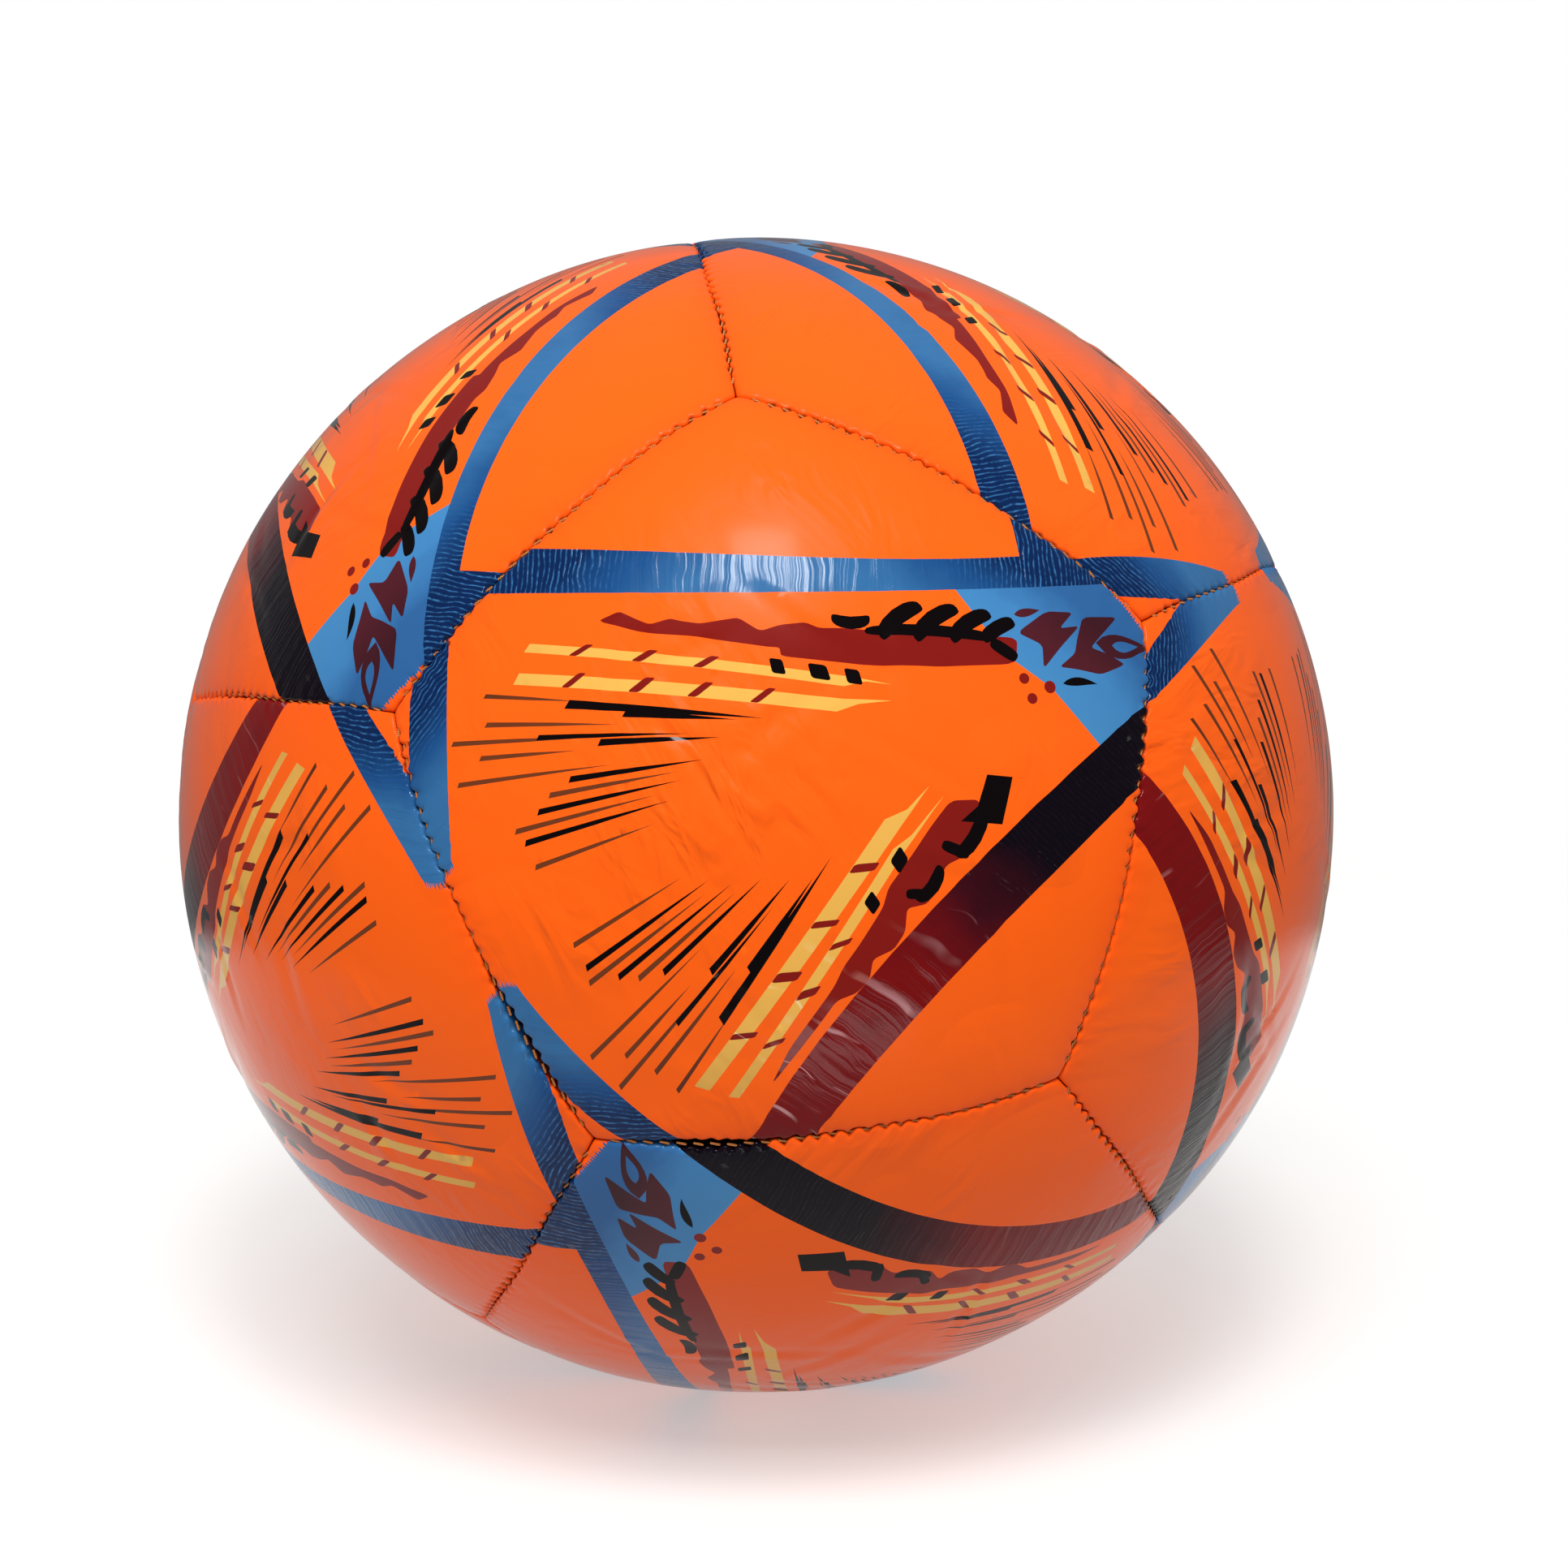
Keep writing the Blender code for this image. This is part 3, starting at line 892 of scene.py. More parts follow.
    def add_patch_strokes(self) -> None:
        """Plum blades and a ring of leaf shape on the sky-blue patch, and three dots below it."""
        blade = [(-6.8, 45.0), (-8.2, 52.0), (-6.2, 57.0), (-4.6, 53.0), (-3.6, 57.0), (-1.6, 51.6), (0.6, 46.6)]
        blade += [(-3.2, 48.4)]
        self.add(Ink.PLUM, brushed(blade, 0.12))
        blade = [(-4.8, 58.4), (-2.4, 65.6), (-0.6, 60.4), (0.6, 57.2), (3.0, 60.2), (5.8, 62.6), (5.6, 56.8)]
        blade += [(3.0, 52.6), (1.4, 49.6), (0.4, 53.6), (-1.8, 55.4)]
        self.add(Ink.PLUM, brushed(blade, 0.12))
        self.add(Ink.PLUM, leaf((0.2, 58.6), (4.8, 69.6), 4.4, -0.04), leaf((-9.8, 46.0), (-8.8, 51.0), 1.5))
        self.add(Ink.SKY, leaf((1.8, 61.6), (3.8, 67.0), 2.0, -0.04))
        self.add(Ink.BLACK, leaf((4.2, 48.8), (6.8, 55.2), 1.5, 0.06))
        for x, y, size in ((0.7, 42.4, 0.95), (4.3, 42.2, 0.95), (3.8, 46.2, 1.1)):
            ring = [(x + size * math.sin(k * math.tau / 12), y + size * math.cos(k * math.tau / 12)) for k in range(12)]
            self.add(Ink.RUST, ring)

    def add_fan(self, side: int, turn: float) -> None:
        """One fan of tapered dashes about the fan's middle.

        Args:
            side: -1 for the left fan and 1 for the right.
            turn: How many degrees further out it is turned.
        """
        for angle, outer, inner, half, ink in (
            (31.0, 70.5, 54.0, 0.40, Ink.UMBER),
            (30.4, 55.6, 23.6, 0.76, Ink.BLACK),
            (29.2, 46.0, 28.0, 0.58, Ink.BLACK),
            (27.0, 69.8, 47.0, 0.44, Ink.UMBER),
            (24.6, 76.0, 50.0, 0.44, Ink.UMBER),
            (24.9, 60.5, 35.5, 0.45, Ink.BLACK),
            (23.6, 50.0, 30.5, 0.58, Ink.BLACK),
            (22.4, 70.8, 54.0, 0.44, Ink.UMBER),
            (19.2, 75.2, 48.0, 0.44, Ink.UMBER),
            (17.6, 55.4, 33.4, 0.52, Ink.BLACK),
            (15.6, 59.2, 38.0, 0.46, Ink.UMBER),
            (13.4, 61.6, 37.6, 0.50, Ink.BLACK),
            (11.4, 66.2, 42.0, 0.46, Ink.UMBER),
            (9.4, 65.0, 40.0, 0.52, Ink.BLACK),
            (5.6, 64.6, 43.6, 0.44, Ink.UMBER),
        ):
            self.add(ink, self.dash(math.radians((angle + turn) * side), outer, inner, half))

    def dash(self, angle: float, outer: float, inner: float, half: float) -> list[Point]:
        """One dash with a slanted blunt end.

        Args:
            angle: Its direction from the fan's middle, from straight down.
            outer: How far out its blunt end is.
            inner: How far out its sharp end is.
            half: Half of its width.

        Returns:
            Its outline.
        """
        middle = Vector(self.fan_middle)
        out = Vector((math.sin(angle), -math.cos(angle)))
        across = Vector((math.cos(angle), math.sin(angle))) * half
        first, last = middle + out * outer, middle + out * inner
        belly = first + (last - first) * 0.5
        corners = (first + across + out * half, belly + across * 0.7, last, belly - across * 0.7, first - across)
        return [(c.x, c.y) for c in corners]


# The panel's own geometry.


@dataclass(frozen=True)
class PanelChart:
    """The flat panel and its place on the ball: twelve equal five-sided panels."""

    radius: float
    side_tilt: float = math.atan(2 / (1 + math.sqrt(5)))

    def sides(self) -> tuple[np.ndarray, np.ndarray, np.ndarray]:
        """The five sides, clockwise from the apex.

        Returns:
            The sides' middles, inward normals and runs, each 5 by 3.
        """
        angles = (2 * np.arange(5) + 1) * math.pi / 5
        flat = np.stack([np.sin(angles), np.cos(angles), 0 * angles], 1)
        up = np.array([0.0, 0.0, 1.0])
        middles = flat * math.sin(self.side_tilt) + up * math.cos(self.side_tilt)
        inward = -flat * math.cos(self.side_tilt) + up * math.sin(self.side_tilt)
        return middles, inward, np.cross(inward, middles)

    def directions(self, flat: np.ndarray) -> np.ndarray:
        """Where points of the flat panel point from the ball's centre.

        Args:
            flat: N by 2, in metres along the ball's surface from the panel's middle.

        Returns:
            N by 3 unit vectors, the panel's middle at +Z.
        """
        reach = np.linalg.norm(flat, axis=1)
        angle = reach / self.radius
        share = np.sin(angle) / np.maximum(reach, 1e-12)
        return np.stack([flat[:, 0] * share, flat[:, 1] * share, np.cos(angle)], 1)

    def flatten(self, directions: np.ndarray) -> np.ndarray:
        """The inverse of directions.

        Args:
            directions: N by 3 unit vectors.

        Returns:
            N by 2 points of the flat panel.
        """
        side = np.hypot(directions[:, 0], directions[:, 1])
        angle = np.arctan2(side, directions[:, 2]) * self.radius
        share = angle / np.maximum(side, 1e-12)
        return directions[:, :2] * share[:, None]

    def side_distances(self, directions: np.ndarray) -> np.ndarray:
        """How far each point is inside each side, N by 5, in metres."""
        return self.radius * np.arcsin(np.clip(directions @ self.sides()[1].T, -1, 1))

    def side_runs(self, directions: np.ndarray) -> np.ndarray:
        """How far each point is along each side from its middle, N by 5, in metres."""
        middles, _, runs = self.sides()
        return self.radius * np.arctan2(directions @ runs.T, directions @ middles.T)

    def row(self, inset: float, spacing: float) -> np.ndarray:
        """Points along a line a constant distance inside the sides.

        Args:
            inset: That distance, below nought outside the seams.
            spacing: The distance between points.

        Returns:
            N by 2 points of the flat panel, in order round it.
        """
        middles, inward, runs = self.sides()
        lift = math.sin(inset / self.radius)
        found = []
        for side in range(5):
            flat = math.sqrt(1 - lift * lift)
            ends = []
            for other in ((side - 1) % 5, (side + 1) % 5):
                # Where this row meets the next side's row, on the corner's own line of symmetry.
                low, high = 0.0, 0.9
                sign = 1.0 if runs[side] @ middles[other] > 0 else -1.0
                for _ in range(50):
                    middle = (low + high) / 2
                    point = inward[side] * lift + flat * (
                        middles[side] * math.cos(middle) + runs[side] * sign * math.sin(middle)
                    )
                    if point @ inward[other] > lift:
                        low = middle
                    else:
                        high = middle
                ends.append(sign * low)
            steps = max(2, round(abs(ends[1] - ends[0]) * self.radius / spacing))
            swings = np.linspace(ends[0], ends[1], steps, endpoint=False)[:, None]
            found.append(
                inward[side] * lift + flat * (middles[side] * np.cos(swings) + runs[side] * np.sin(swings))
            )
        return self.flatten(np.concatenate(found))


@dataclass(frozen=True)
class SeamFold:
    """How a panel's edge turns in: a round shoulder, then a lip down into the seam, pulled at each stitch."""

    half_gap: float = 0.04 * MM
    pit_gap: float = 0.34 * MM
    shoulder: float = 0.6 * MM
    lip: float = 2.4 * MM
    stitch_pitch: float = 2.8 * MM
    pit_depth: float = 0.42 * MM
    sway: float = 0.9 * MM
    pucker: float = 0.28 * MM
    valley: float = 0.26 * MM
    valley_reach: float = 3.4 * MM
    half_side: float = 40.1 * MM
    corner_dip: float = 0.22 * MM
    gape: float = 0.72 * MM
    gape_reach: float = 10.0 * MM
    pit_reach: float = 1.0 * MM
    pucker_reach: float = 1.9 * MM
    sway_reach: float = 2.4 * MM
    firm_end: float = 1.5 * MM
    end_fade: float = 5.0 * MM
    corner_reach: float = 9.0 * MM
    corner_width: float = 1.4 * MM

    def opening(self, run: np.ndarray, middle: float | None) -> np.ndarray:
        """How far a slack stretch of seam stands open on each side.

        Args:
            run: Place along the seam.
            middle: The slack stretch's middle, or None where the seam is tight.

        Returns:
            The extra half gap.
        """
        if middle is None:
            return np.zeros_like(run)
        return self.gape * np.exp(-(((run - middle) / self.gape_reach) ** 2)) * self.away_from_corners(run)

    def start(self) -> float:
        """How far inside the seam the shoulder starts."""
        return self.half_gap + self.shoulder

    def sheet_margin(self) -> float:
        """How much of the flat sheet lies beyond the seam line."""
        return self.shoulder * math.pi / 2 - self.start() + self.lip

    def away_from_corners(self, run: np.ndarray) -> np.ndarray:
        """1 along the seam, falling to 0 at its two ends."""
        return np.clip((self.half_side - self.firm_end - np.abs(run)) / self.end_fade, 0, 1)

    def pull(self, run: np.ndarray, seam: int) -> np.ndarray:
        """How hard the thread pulls the two edges apart and down.

        Args:
            run: Place along the seam.
            seam: The seam's number.

        Returns:
            1 at a firm stitch, 0 between.
        """
        wave = 0.5 + 0.5 * np.cos(math.tau * run / self.stitch_pitch)
        uneven = 0.72 + 0.28 * np.sin(run / (7.3 * MM) + 2.4 * seam)
        return wave**2 * uneven * self.away_from_corners(run)

    def puckers(self, within: np.ndarray, run: np.ndarray, seam: int) -> np.ndarray:
        """Small slanted dents that run in from each stitch.

        Args:
            within: Distance inside the seam.
            run: Place along the seam.
            seam: The seam's number.

        Returns:
            How far the sheet sinks.
        """
        slanted = run + 0.9 * within * (1 if seam % 2 else -1)
        wave = 0.5 + 0.5 * np.cos(math.tau * slanted / self.stitch_pitch + 0.6)
        patchy = np.clip(0.5 + 0.7 * np.sin(run / (10.3 * MM) + 2.9 * seam), 0.1, 1)
        return self.pucker * wave * patchy * np.exp(-within / self.pucker_reach) * self.away_from_corners(run)

    def drift(self, run: np.ndarray, seam: int) -> np.ndarray:
        """How far the seam line wanders sideways: a row of small scallops between the stitches.

        Args:
            run: Place along the seam.
            seam: The seam's number.

        Returns:
            The sideways distance at each place.
        """
        uneven = run + 0.35 * MM * np.sin(run / (2.3 * MM) + seam)
        scallop = np.abs(np.sin(math.pi * uneven / self.stitch_pitch)) - 0.5
        patchy = np.clip(0.5 + 0.75 * np.sin(run / (12.0 * MM) + 1.7 * seam), 0.04, 1)
        side = 1 if seam % 2 else -1
        slow = 0.22 * np.sin(run / (6.1 * MM) + 0.9 * seam)
        return self.sway * (side * patchy * scallop + slow) * self.away_from_corners(run)

    def lateral(self, inset: np.ndarray, pull: np.ndarray, drift: np.ndarray) -> np.ndarray:
        """How far the folding moves the sheet, measured inwards from the seam.

        Args:
            inset: The flat sheet's distance inside the seam.
            pull: The thread's pull at that place.
            drift: The seam line's own drift there, inwards.

        Returns:
            The sideways move.
        """
        angle = np.clip((self.start() - inset) / self.shoulder, 0, math.pi / 2)
        folded = self.start() - self.shoulder * np.sin(angle)
        opened = folded + (self.pit_gap - self.half_gap) * pull * np.sin(angle)
        beyond = np.maximum(inset - self.start(), 0)
        return np.where(inset < self.start(), opened - inset, 0) + drift * np.exp(-beyond / self.sway_reach)

    def depth(self, inset: np.ndarray) -> np.ndarray:
        """How far below the ball's surface the folded sheet lies.

        Args:
            inset: The flat sheet's distance inside the seam.

        Returns:
            The depth at each distance.
        """
        angle = np.clip((self.start() - inset) / self.shoulder, 0, math.pi / 2)
        beyond = np.maximum(self.start() - self.shoulder * math.pi / 2 - inset, 0)
        return self.shoulder * (1 - np.cos(angle)) + beyond


@dataclass
class BallPlan:
    """The ball's size and the places of its panels and seams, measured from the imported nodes."""

    radius: float = 0.0
    turns: list[Matrix] = field(default_factory=list)
    seams: list[tuple[Vector, Vector]] = field(default_factory=list)
    borders: list[list[tuple[int, int]]] = field(default_factory=list)
    slack: dict[int, float] = field(default_factory=dict)
    slack_places: tuple[tuple[int, float], ...] = ((1, -22.0 * MM), (2, 19.0 * MM))

    def measure(self) -> "BallPlan":
        """Reads the radius and the panels' places off the skin nodes.

        Returns:
            The plan itself.
        """
        middles = []
        for index in range(1, 13):
            points = self.points_of(f"skin_{index:02d}")
            lengths = np.linalg.norm(points, axis=1)
            self.radius = max(self.radius, float(lengths.max()))
            outer = points[lengths > lengths.max() - 0.01 * MM]
            middles.append(Vector(np.unique(outer.round(6), axis=0).mean(axis=0)).normalized())
        # The first four panels stand in pairs about the axes that the print turns round.
        third = (middles[0] + middles[2]).normalized()
        second = (middles[0] - middles[2]).normalized()
        axes = (second.cross(third), second, third)
        for middle in middles:
            nearest = max((axis * sign for axis in axes for sign in (1, -1)), key=middle.dot)
            apex = (middle * nearest.dot(middle) - nearest).normalized()
            self.turns.append(Matrix((apex.cross(middle), apex, middle)).transposed())
        self.find_seams()
        return self

    def find_seams(self) -> None:
        """Numbers the thirty seams, and notes for each panel side its seam and which way it runs."""
        middles, _, runs = PanelChart(self.radius).sides()
        for turn in self.turns:
            border = []
            for side in range(5):
                middle, run = turn @ Vector(middles[side]), turn @ Vector(runs[side])
                known = [i for i, (other, _) in enumerate(self.seams) if middle.dot(other) > 0.999]
                if not known:
                    self.seams.append((middle, run))
                    known = [len(self.seams) - 1]
                border.append((known[0], 1 if run.dot(self.seams[known[0]][1]) > 0 else -1))
            self.borders.append(border)
        for side, place in self.slack_places:
            seam, sense = self.borders[FRONT_PANEL - 1][side]
            self.slack[seam] = sense * place

    def points_of(self, node: str) -> np.ndarray:
        """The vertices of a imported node.

        Args:
            node: The node's name.

        Returns:
            N by 3, in metres.
        """
        mesh = bpy.data.objects[node].data
        points = np.empty(len(mesh.vertices) * 3)
        mesh.vertices.foreach_get("co", points)
        return points.reshape(-1, 3)


@dataclass
class PanelBlank:
    """The flat printed sheet, cut into faces along the print's outlines."""

    chart: PanelChart
    fold: SeamFold
    artwork: Artwork
    grid: float = 1.6 * MM
    edge_step: float = 0.45 * MM
    valve_hole: float = 0.0
    points: np.ndarray = field(default_factory=lambda: np.zeros((0, 2)))
    faces: np.ndarray = field(default_factory=lambda: np.zeros((0, 3), int))
    inks: np.ndarray = field(default_factory=lambda: np.zeros(0, int))

    def cut(self) -> "PanelBlank":
        """Triangulates the sheet.

        Returns:
            The blank itself, its points in metres on the flat panel.
        """
        start, margin = self.fold.start(), self.fold.sheet_margin()
        insets = [-margin, -margin * 0.55]
        insets += [start - self.fold.shoulder * math.pi / 2 * share for share in (1.0, 0.75, 0.5, 0.25, 0.0)]
        insets += [start + extra * MM for extra in (0.3, 0.75, 1.3, 2.0, 2.9, 4.1)]
        loose = [self.chart.row(inset, self.edge_step * (1 + 0.12 * k)) for k, inset in enumerate(insets)]
        rim = len(loose[0])
        loose.append(self.inner_grid(insets[-1] + 0.6 * self.grid))
        points = np.concatenate(loose)
        edges = [(i, (i + 1) % rim) for i in range(rim)]
        outlines = [np.array(shape.outline) * MM for shape in self.artwork.shapes]
        if self.valve_hole:
            angles = np.linspace(0, math.tau, 64, endpoint=False)
            outlines.append(self.valve_hole * np.stack([np.cos(angles), np.sin(angles)], 1))
        for outline in outlines:
            line = self.subdivided(outline)
            first = len(points)
            points = np.concatenate([points, line])
            edges += [(first + i, first + (i + 1) % len(line)) for i in range(len(line))]
        flat = [Vector((x, y)) for x, y in points / MM]
        made = delaunay_2d_cdt(flat, edges, [], 0, 1e-4)
        self.points = np.array([tuple(v) for v in made[0]]) * MM
        self.faces = np.array(made[2], int)
        self.drop_outside(-margin)
        self.ink_faces()
        return self

    def inner_grid(self, inset: float) -> np.ndarray:
        """A grid of equal triangles over the panel's middle.

        Args:
            inset: How far inside the sides it stops.

        Returns:
            N by 2 points of the flat panel.
        """
        reach = int(0.9 * self.chart.radius / self.grid)
        steps = np.arange(-reach, reach + 1)
        i, j = np.meshgrid(steps, steps)
        flat = np.stack([(i + 0.5 * (j % 2)).ravel(), (j * math.sqrt(0.75)).ravel()], 1) * self.grid
        distances = self.chart.side_distances(self.chart.directions(flat)).min(axis=1)
        return flat[distances > inset]

    def subdivided(self, outline: np.ndarray) -> np.ndarray:
        """Adds points to an outline, so that none lies more than a grid step from the next.

        Args:
            outline: N by 2 corners.

        Returns:
            The longer list of points.
        """
        line = []
        for start, end in zip(outline, np.roll(outline, -1, axis=0)):
            steps = max(1, math.ceil(np.linalg.norm(end - start) / self.grid))
            line += [start + (end - start) * k / steps for k in range(steps)]
        return np.array(line)

    def drop_outside(self, limit: float) -> None:
        """Drops the faces beyond the sheet's edge and inside the valve hole, and loose points.

        Args:
            limit: The least distance inside the seams, below nought beyond them.
        """
        middles = self.points[self.faces].mean(axis=1)
        distances = self.chart.side_distances(self.chart.directions(middles)).min(axis=1)
        keep = distances > limit
        if self.valve_hole:
            keep &= np.linalg.norm(middles, axis=1) > self.valve_hole
        faces = self.faces[keep]
        used, index = np.unique(faces, return_inverse=True)
        self.points, self.faces = self.points[used], index.reshape(-1, 3)

    def ink_faces(self) -> None:
        """Gives each face the ink of the topmost shape over it."""
        middles = self.points[self.faces].mean(axis=1) / MM
        self.inks = np.full(len(self.faces), Ink.ORANGE.value)
        for shape in self.artwork.shapes:
            self.inks[shape.holds(middles)] = shape.ink.value


@dataclass
class PanelSkin:
    """A printed skin panel, pillowed over its pad, its edges pulled into the seams."""

    blank: PanelBlank
    plan: BallPlan
    index: int
    crumple: float = LIGHTLY_HANDLED
    thickness: float = 0.45 * MM
    tension: float = 0.06 * MM
    sag: float = 0.14 * MM
    creases: int = 8
    handled_creases: int = 8
    crease_depth: float = 0.28 * MM
    swells: int = 5
    wrinkle_pitch: float = 4.3 * MM
    wrinkle_reach: float = 5.0 * MM

    def build(self) -> bpy.types.Object:
        """Shapes the sheet on the ball and gives it its thickness.

        Returns:
            The finished panel.
        """
        name = f"panel_{self.index:02d}"
        turn = np.array(self.plan.turns[self.index - 1])
        mesh = bpy.data.meshes.new(name)
        mesh.from_pydata((self.shaped() @ turn.T).tolist(), [], self.blank.faces.tolist())
        mesh.polygons.foreach_set("material_index", self.blank.inks.astype(np.int32))
        self.write_attributes(mesh)
        piece = bpy.data.objects.new(name, mesh)
        bpy.context.scene.collection.objects.link(piece)
        deselect_all()
        piece.select_set(True)
        bpy.context.view_layer.objects.active = piece
        bpy.ops.object.shade_smooth()
        return piece

    def shaped(self) -> np.ndarray:
        """Bends the sheet onto the ball and shapes it.

        Returns:
            The sheet's points, N by 3, the panel's middle at +Z.
        """
        chart, fold = self.blank.chart, self.blank.fold
        directions = chart.directions(self.blank.points)
        distances = chart.side_distances(directions)
        runs = chart.side_runs(directions)
        inward = chart.sides()[1]
        moved = directions.copy()
        folded = np.zeros(len(directions))
        depth = np.zeros(len(directions))
        for side, (seam, sense) in enumerate(self.plan.borders[self.index - 1]):
            inset, run = distances[:, side], sense * runs[:, side]
            pull = fold.pull(run, seam)
            drift = sense * fold.drift(run, seam) + fold.opening(run, self.plan.slack.get(seam))
            shift = fold.lateral(inset, pull, drift)
            moved += inward[side] * (shift / chart.radius)[:, None]
            folded = np.hypot(folded, fold.depth(inset))
            within = np.maximum(inset, 0)
            depth += fold.pit_depth * pull * np.exp(-within / fold.pit_reach)
            depth += fold.puckers(within, run, seam)
            depth += fold.valley * np.exp(-within / fold.valley_reach)
            depth += self.tension_wrinkles(within, run, seam + 31 * self.index)
            ends = np.clip((np.abs(run) - fold.half_side + fold.corner_reach) / fold.corner_reach, 0, 1)
            depth += fold.corner_dip * ends**2 * np.exp(-within / fold.corner_width)
        moved /= np.linalg.norm(moved, axis=1)[:, None]
        depth += self.soft_dents(self.blank.points, np.random.default_rng(100 + self.index))
        return moved * (self.plan.radius - depth - folded)[:, None]

    def tension_wrinkles(self, within: np.ndarray, run: np.ndarray, phase: float) -> np.ndarray:
        """Short wrinkles that run in from the seam and die out.

        Args:
            within: Distance inside the seam.
            run: Place along the seam.
            phase: What sets this seam's wrinkles apart from the others'.

        Returns:
            How far the sheet sinks.
        """
        patchy = np.clip(0.4 + 0.8 * np.sin(run / (13 * MM) + phase), 0, 1)
        ripple = np.sin(math.tau * run / self.wrinkle_pitch + 1.5 * np.sin(run / (5 * MM) + phase))
        return self.tension * patchy * ripple * np.exp(-within / self.wrinkle_reach)

    def soft_dents(self, flat: np.ndarray, seed: np.random.Generator) -> np.ndarray:
        """Broad unevenness of the pad and a few shallow creases across it.

        Args:
            flat: The flat sheet's points.
            seed: The panel's own generator.

        Returns:
            How far each point sinks.
        """
        depth = np.zeros(len(flat))
        for _ in range(self.swells):
            angle, phase = seed.uniform(0, math.tau, 2)
            length = seed.uniform(38, 70) * MM
            along = flat @ np.array([math.cos(angle), math.sin(angle)])
            depth += self.sag / self.swells * (1 + np.sin(math.tau * along / length + phase))
        for _ in range(self.creases + round(self.handled_creases * self.crumple)):
            angle = seed.uniform(0, math.tau)
            middle = seed.uniform(-34, 34, 2) * MM
            unit = np.array([math.cos(angle), math.sin(angle)])
            local = flat - middle
            along = local @ unit
            across = local @ np.array([-unit[1], unit[0]]) + 9.0 * along**2 * seed.uniform(-1, 1)
            width, length = seed.uniform(0.8, 1.7) * MM, seed.uniform(7, 16) * MM
            ridge = np.exp(-((across / width) ** 2)) - 0.6 * np.exp(-(((across - 2.2 * width) / width) ** 2))
            depth += self.crease_depth * ridge * np.exp(-((along / length) ** 2))
        return depth

    def write_attributes(self, mesh: bpy.types.Mesh) -> None:
        """Stores what the inks read: the painted shade near and inside the seams, the joins, the crumpled patches that
        carry painted glints, and the flat panel's own places.

        Args:
            mesh: The shaped sheet's mesh.
        """
        chart, flat = self.blank.chart, self.blank.points / MM
        distances = chart.side_distances(chart.directions(self.blank.points)) / MM
        x, y = flat[:, 0], flat[:, 1]
        foot = y < -41
        run = np.where(foot, 0.42 * y - np.sign(x) * 0.91 * x, 0.9 * y - np.sign(x) * 0.44 * x)
        tight = np.clip(1 - distances[:, 1] / 36, 0, 1) * self.crumple
        scalars = {
            # Painted shade: 1 at a seam, falling off over a few millimetres.
            "seam_valley_shade": np.exp(-np.maximum(distances.min(axis=1), 0) / 2.6),
            # Painted shade in the seams' lips and stitch pits.
            "seam_pit_shade": self.painted_seam_shade(),
            "near_join": np.clip(1 - distances[:, [1, 3, 4]].min(axis=1) / np.where(foot, 17, 26), 0, 1),
            "near_tip": np.clip((14 - 0.53 * x + 0.848 * y) / 38, 0, 1),
            # Where the lacquer crumples: real dents, and painted glints along the folds.
            "crumpled_with_glints": np.clip(tight * 1.7, 0, 1),
            "handled": 2.6 * self.crumple * np.exp(-((x + 4) ** 2 + (y + 14) ** 2) / 420),
            "band_run": run,
            "end_run": 0.53 * x - 0.848 * y + 19.0 * self.index,
        }
        for name, values in scalars.items():
            layer = mesh.attributes.new(name, "FLOAT", "POINT")
            layer.data.foreach_set("value", values.astype(np.float32))
        layer = mesh.attributes.new("flat_mm", "FLOAT_VECTOR", "POINT")
        places = np.column_stack([flat, np.full(len(flat), 37.0 * self.index)])
        layer.data.foreach_set("vector", places.astype(np.float32).ravel())

    def painted_seam_shade(self) -> np.ndarray:
        """How dark the seam is painted: painted shade on the lip that turns down into the seam, and at the pit that
        opens at each stitch.

        Returns:
            0 to 1 at each point.
        """
        chart, fold = self.blank.chart, self.blank.fold
        directions = chart.directions(self.blank.points)
        distances, runs = chart.side_distances(directions), chart.side_runs(directions)
        pit_shade_amount = np.zeros(len(directions))
        for side, (seam, sense) in enumerate(self.plan.borders[self.index - 1]):
            inset, run = distances[:, side], sense * runs[:, side]
            pull = fold.pull(run, seam)
            # Painted shade where the seam opens at each stitch.
            pit_shade_amount = np.maximum(pit_shade_amount, pull * np.clip(1.25 - np.maximum(inset, 0) / (0.7 * MM), 0, 1))
            # Painted shade on the lip that turns down into the seam.
            pit_shade_amount = np.maximum(pit_shade_amount, np.clip((0.1 * MM - inset) / (0.5 * MM), 0, 0.8))
        return pit_shade_amount

    def thicken(self, piece: bpy.types.Object, materials: list[bpy.types.Material]) -> None:
        """Gives the sheet its wall, inwards, with the backing's cloth on the inside.

        Args:
            piece: The shaped sheet.
            materials: One per ink, and the backing last.
        """
        for material in materials:
            piece.data.materials.append(material)
        wall = piece.modifiers.new("wall", "SOLIDIFY")
        wall.thickness = self.thickness
        wall.offset = -1.0
        wall.material_offset = len(materials)
        apply_modifiers(piece)


# Building help.


def deselect_all() -> None:
    """Clears the selection, so that an operator acts only on what is chosen next."""
    for obj in bpy.context.selected_objects:
        obj.select_set(False)


def apply_modifiers(piece: bpy.types.Object) -> None:
    """Applies every modifier of a piece in order.

    Args:
        piece: The piece.
    """
    deselect_all()
    piece.select_set(True)
    bpy.context.view_layer.objects.active = piece
    for modifier in list(piece.modifiers):
        bpy.ops.object.modifier_apply(modifier=modifier.name)


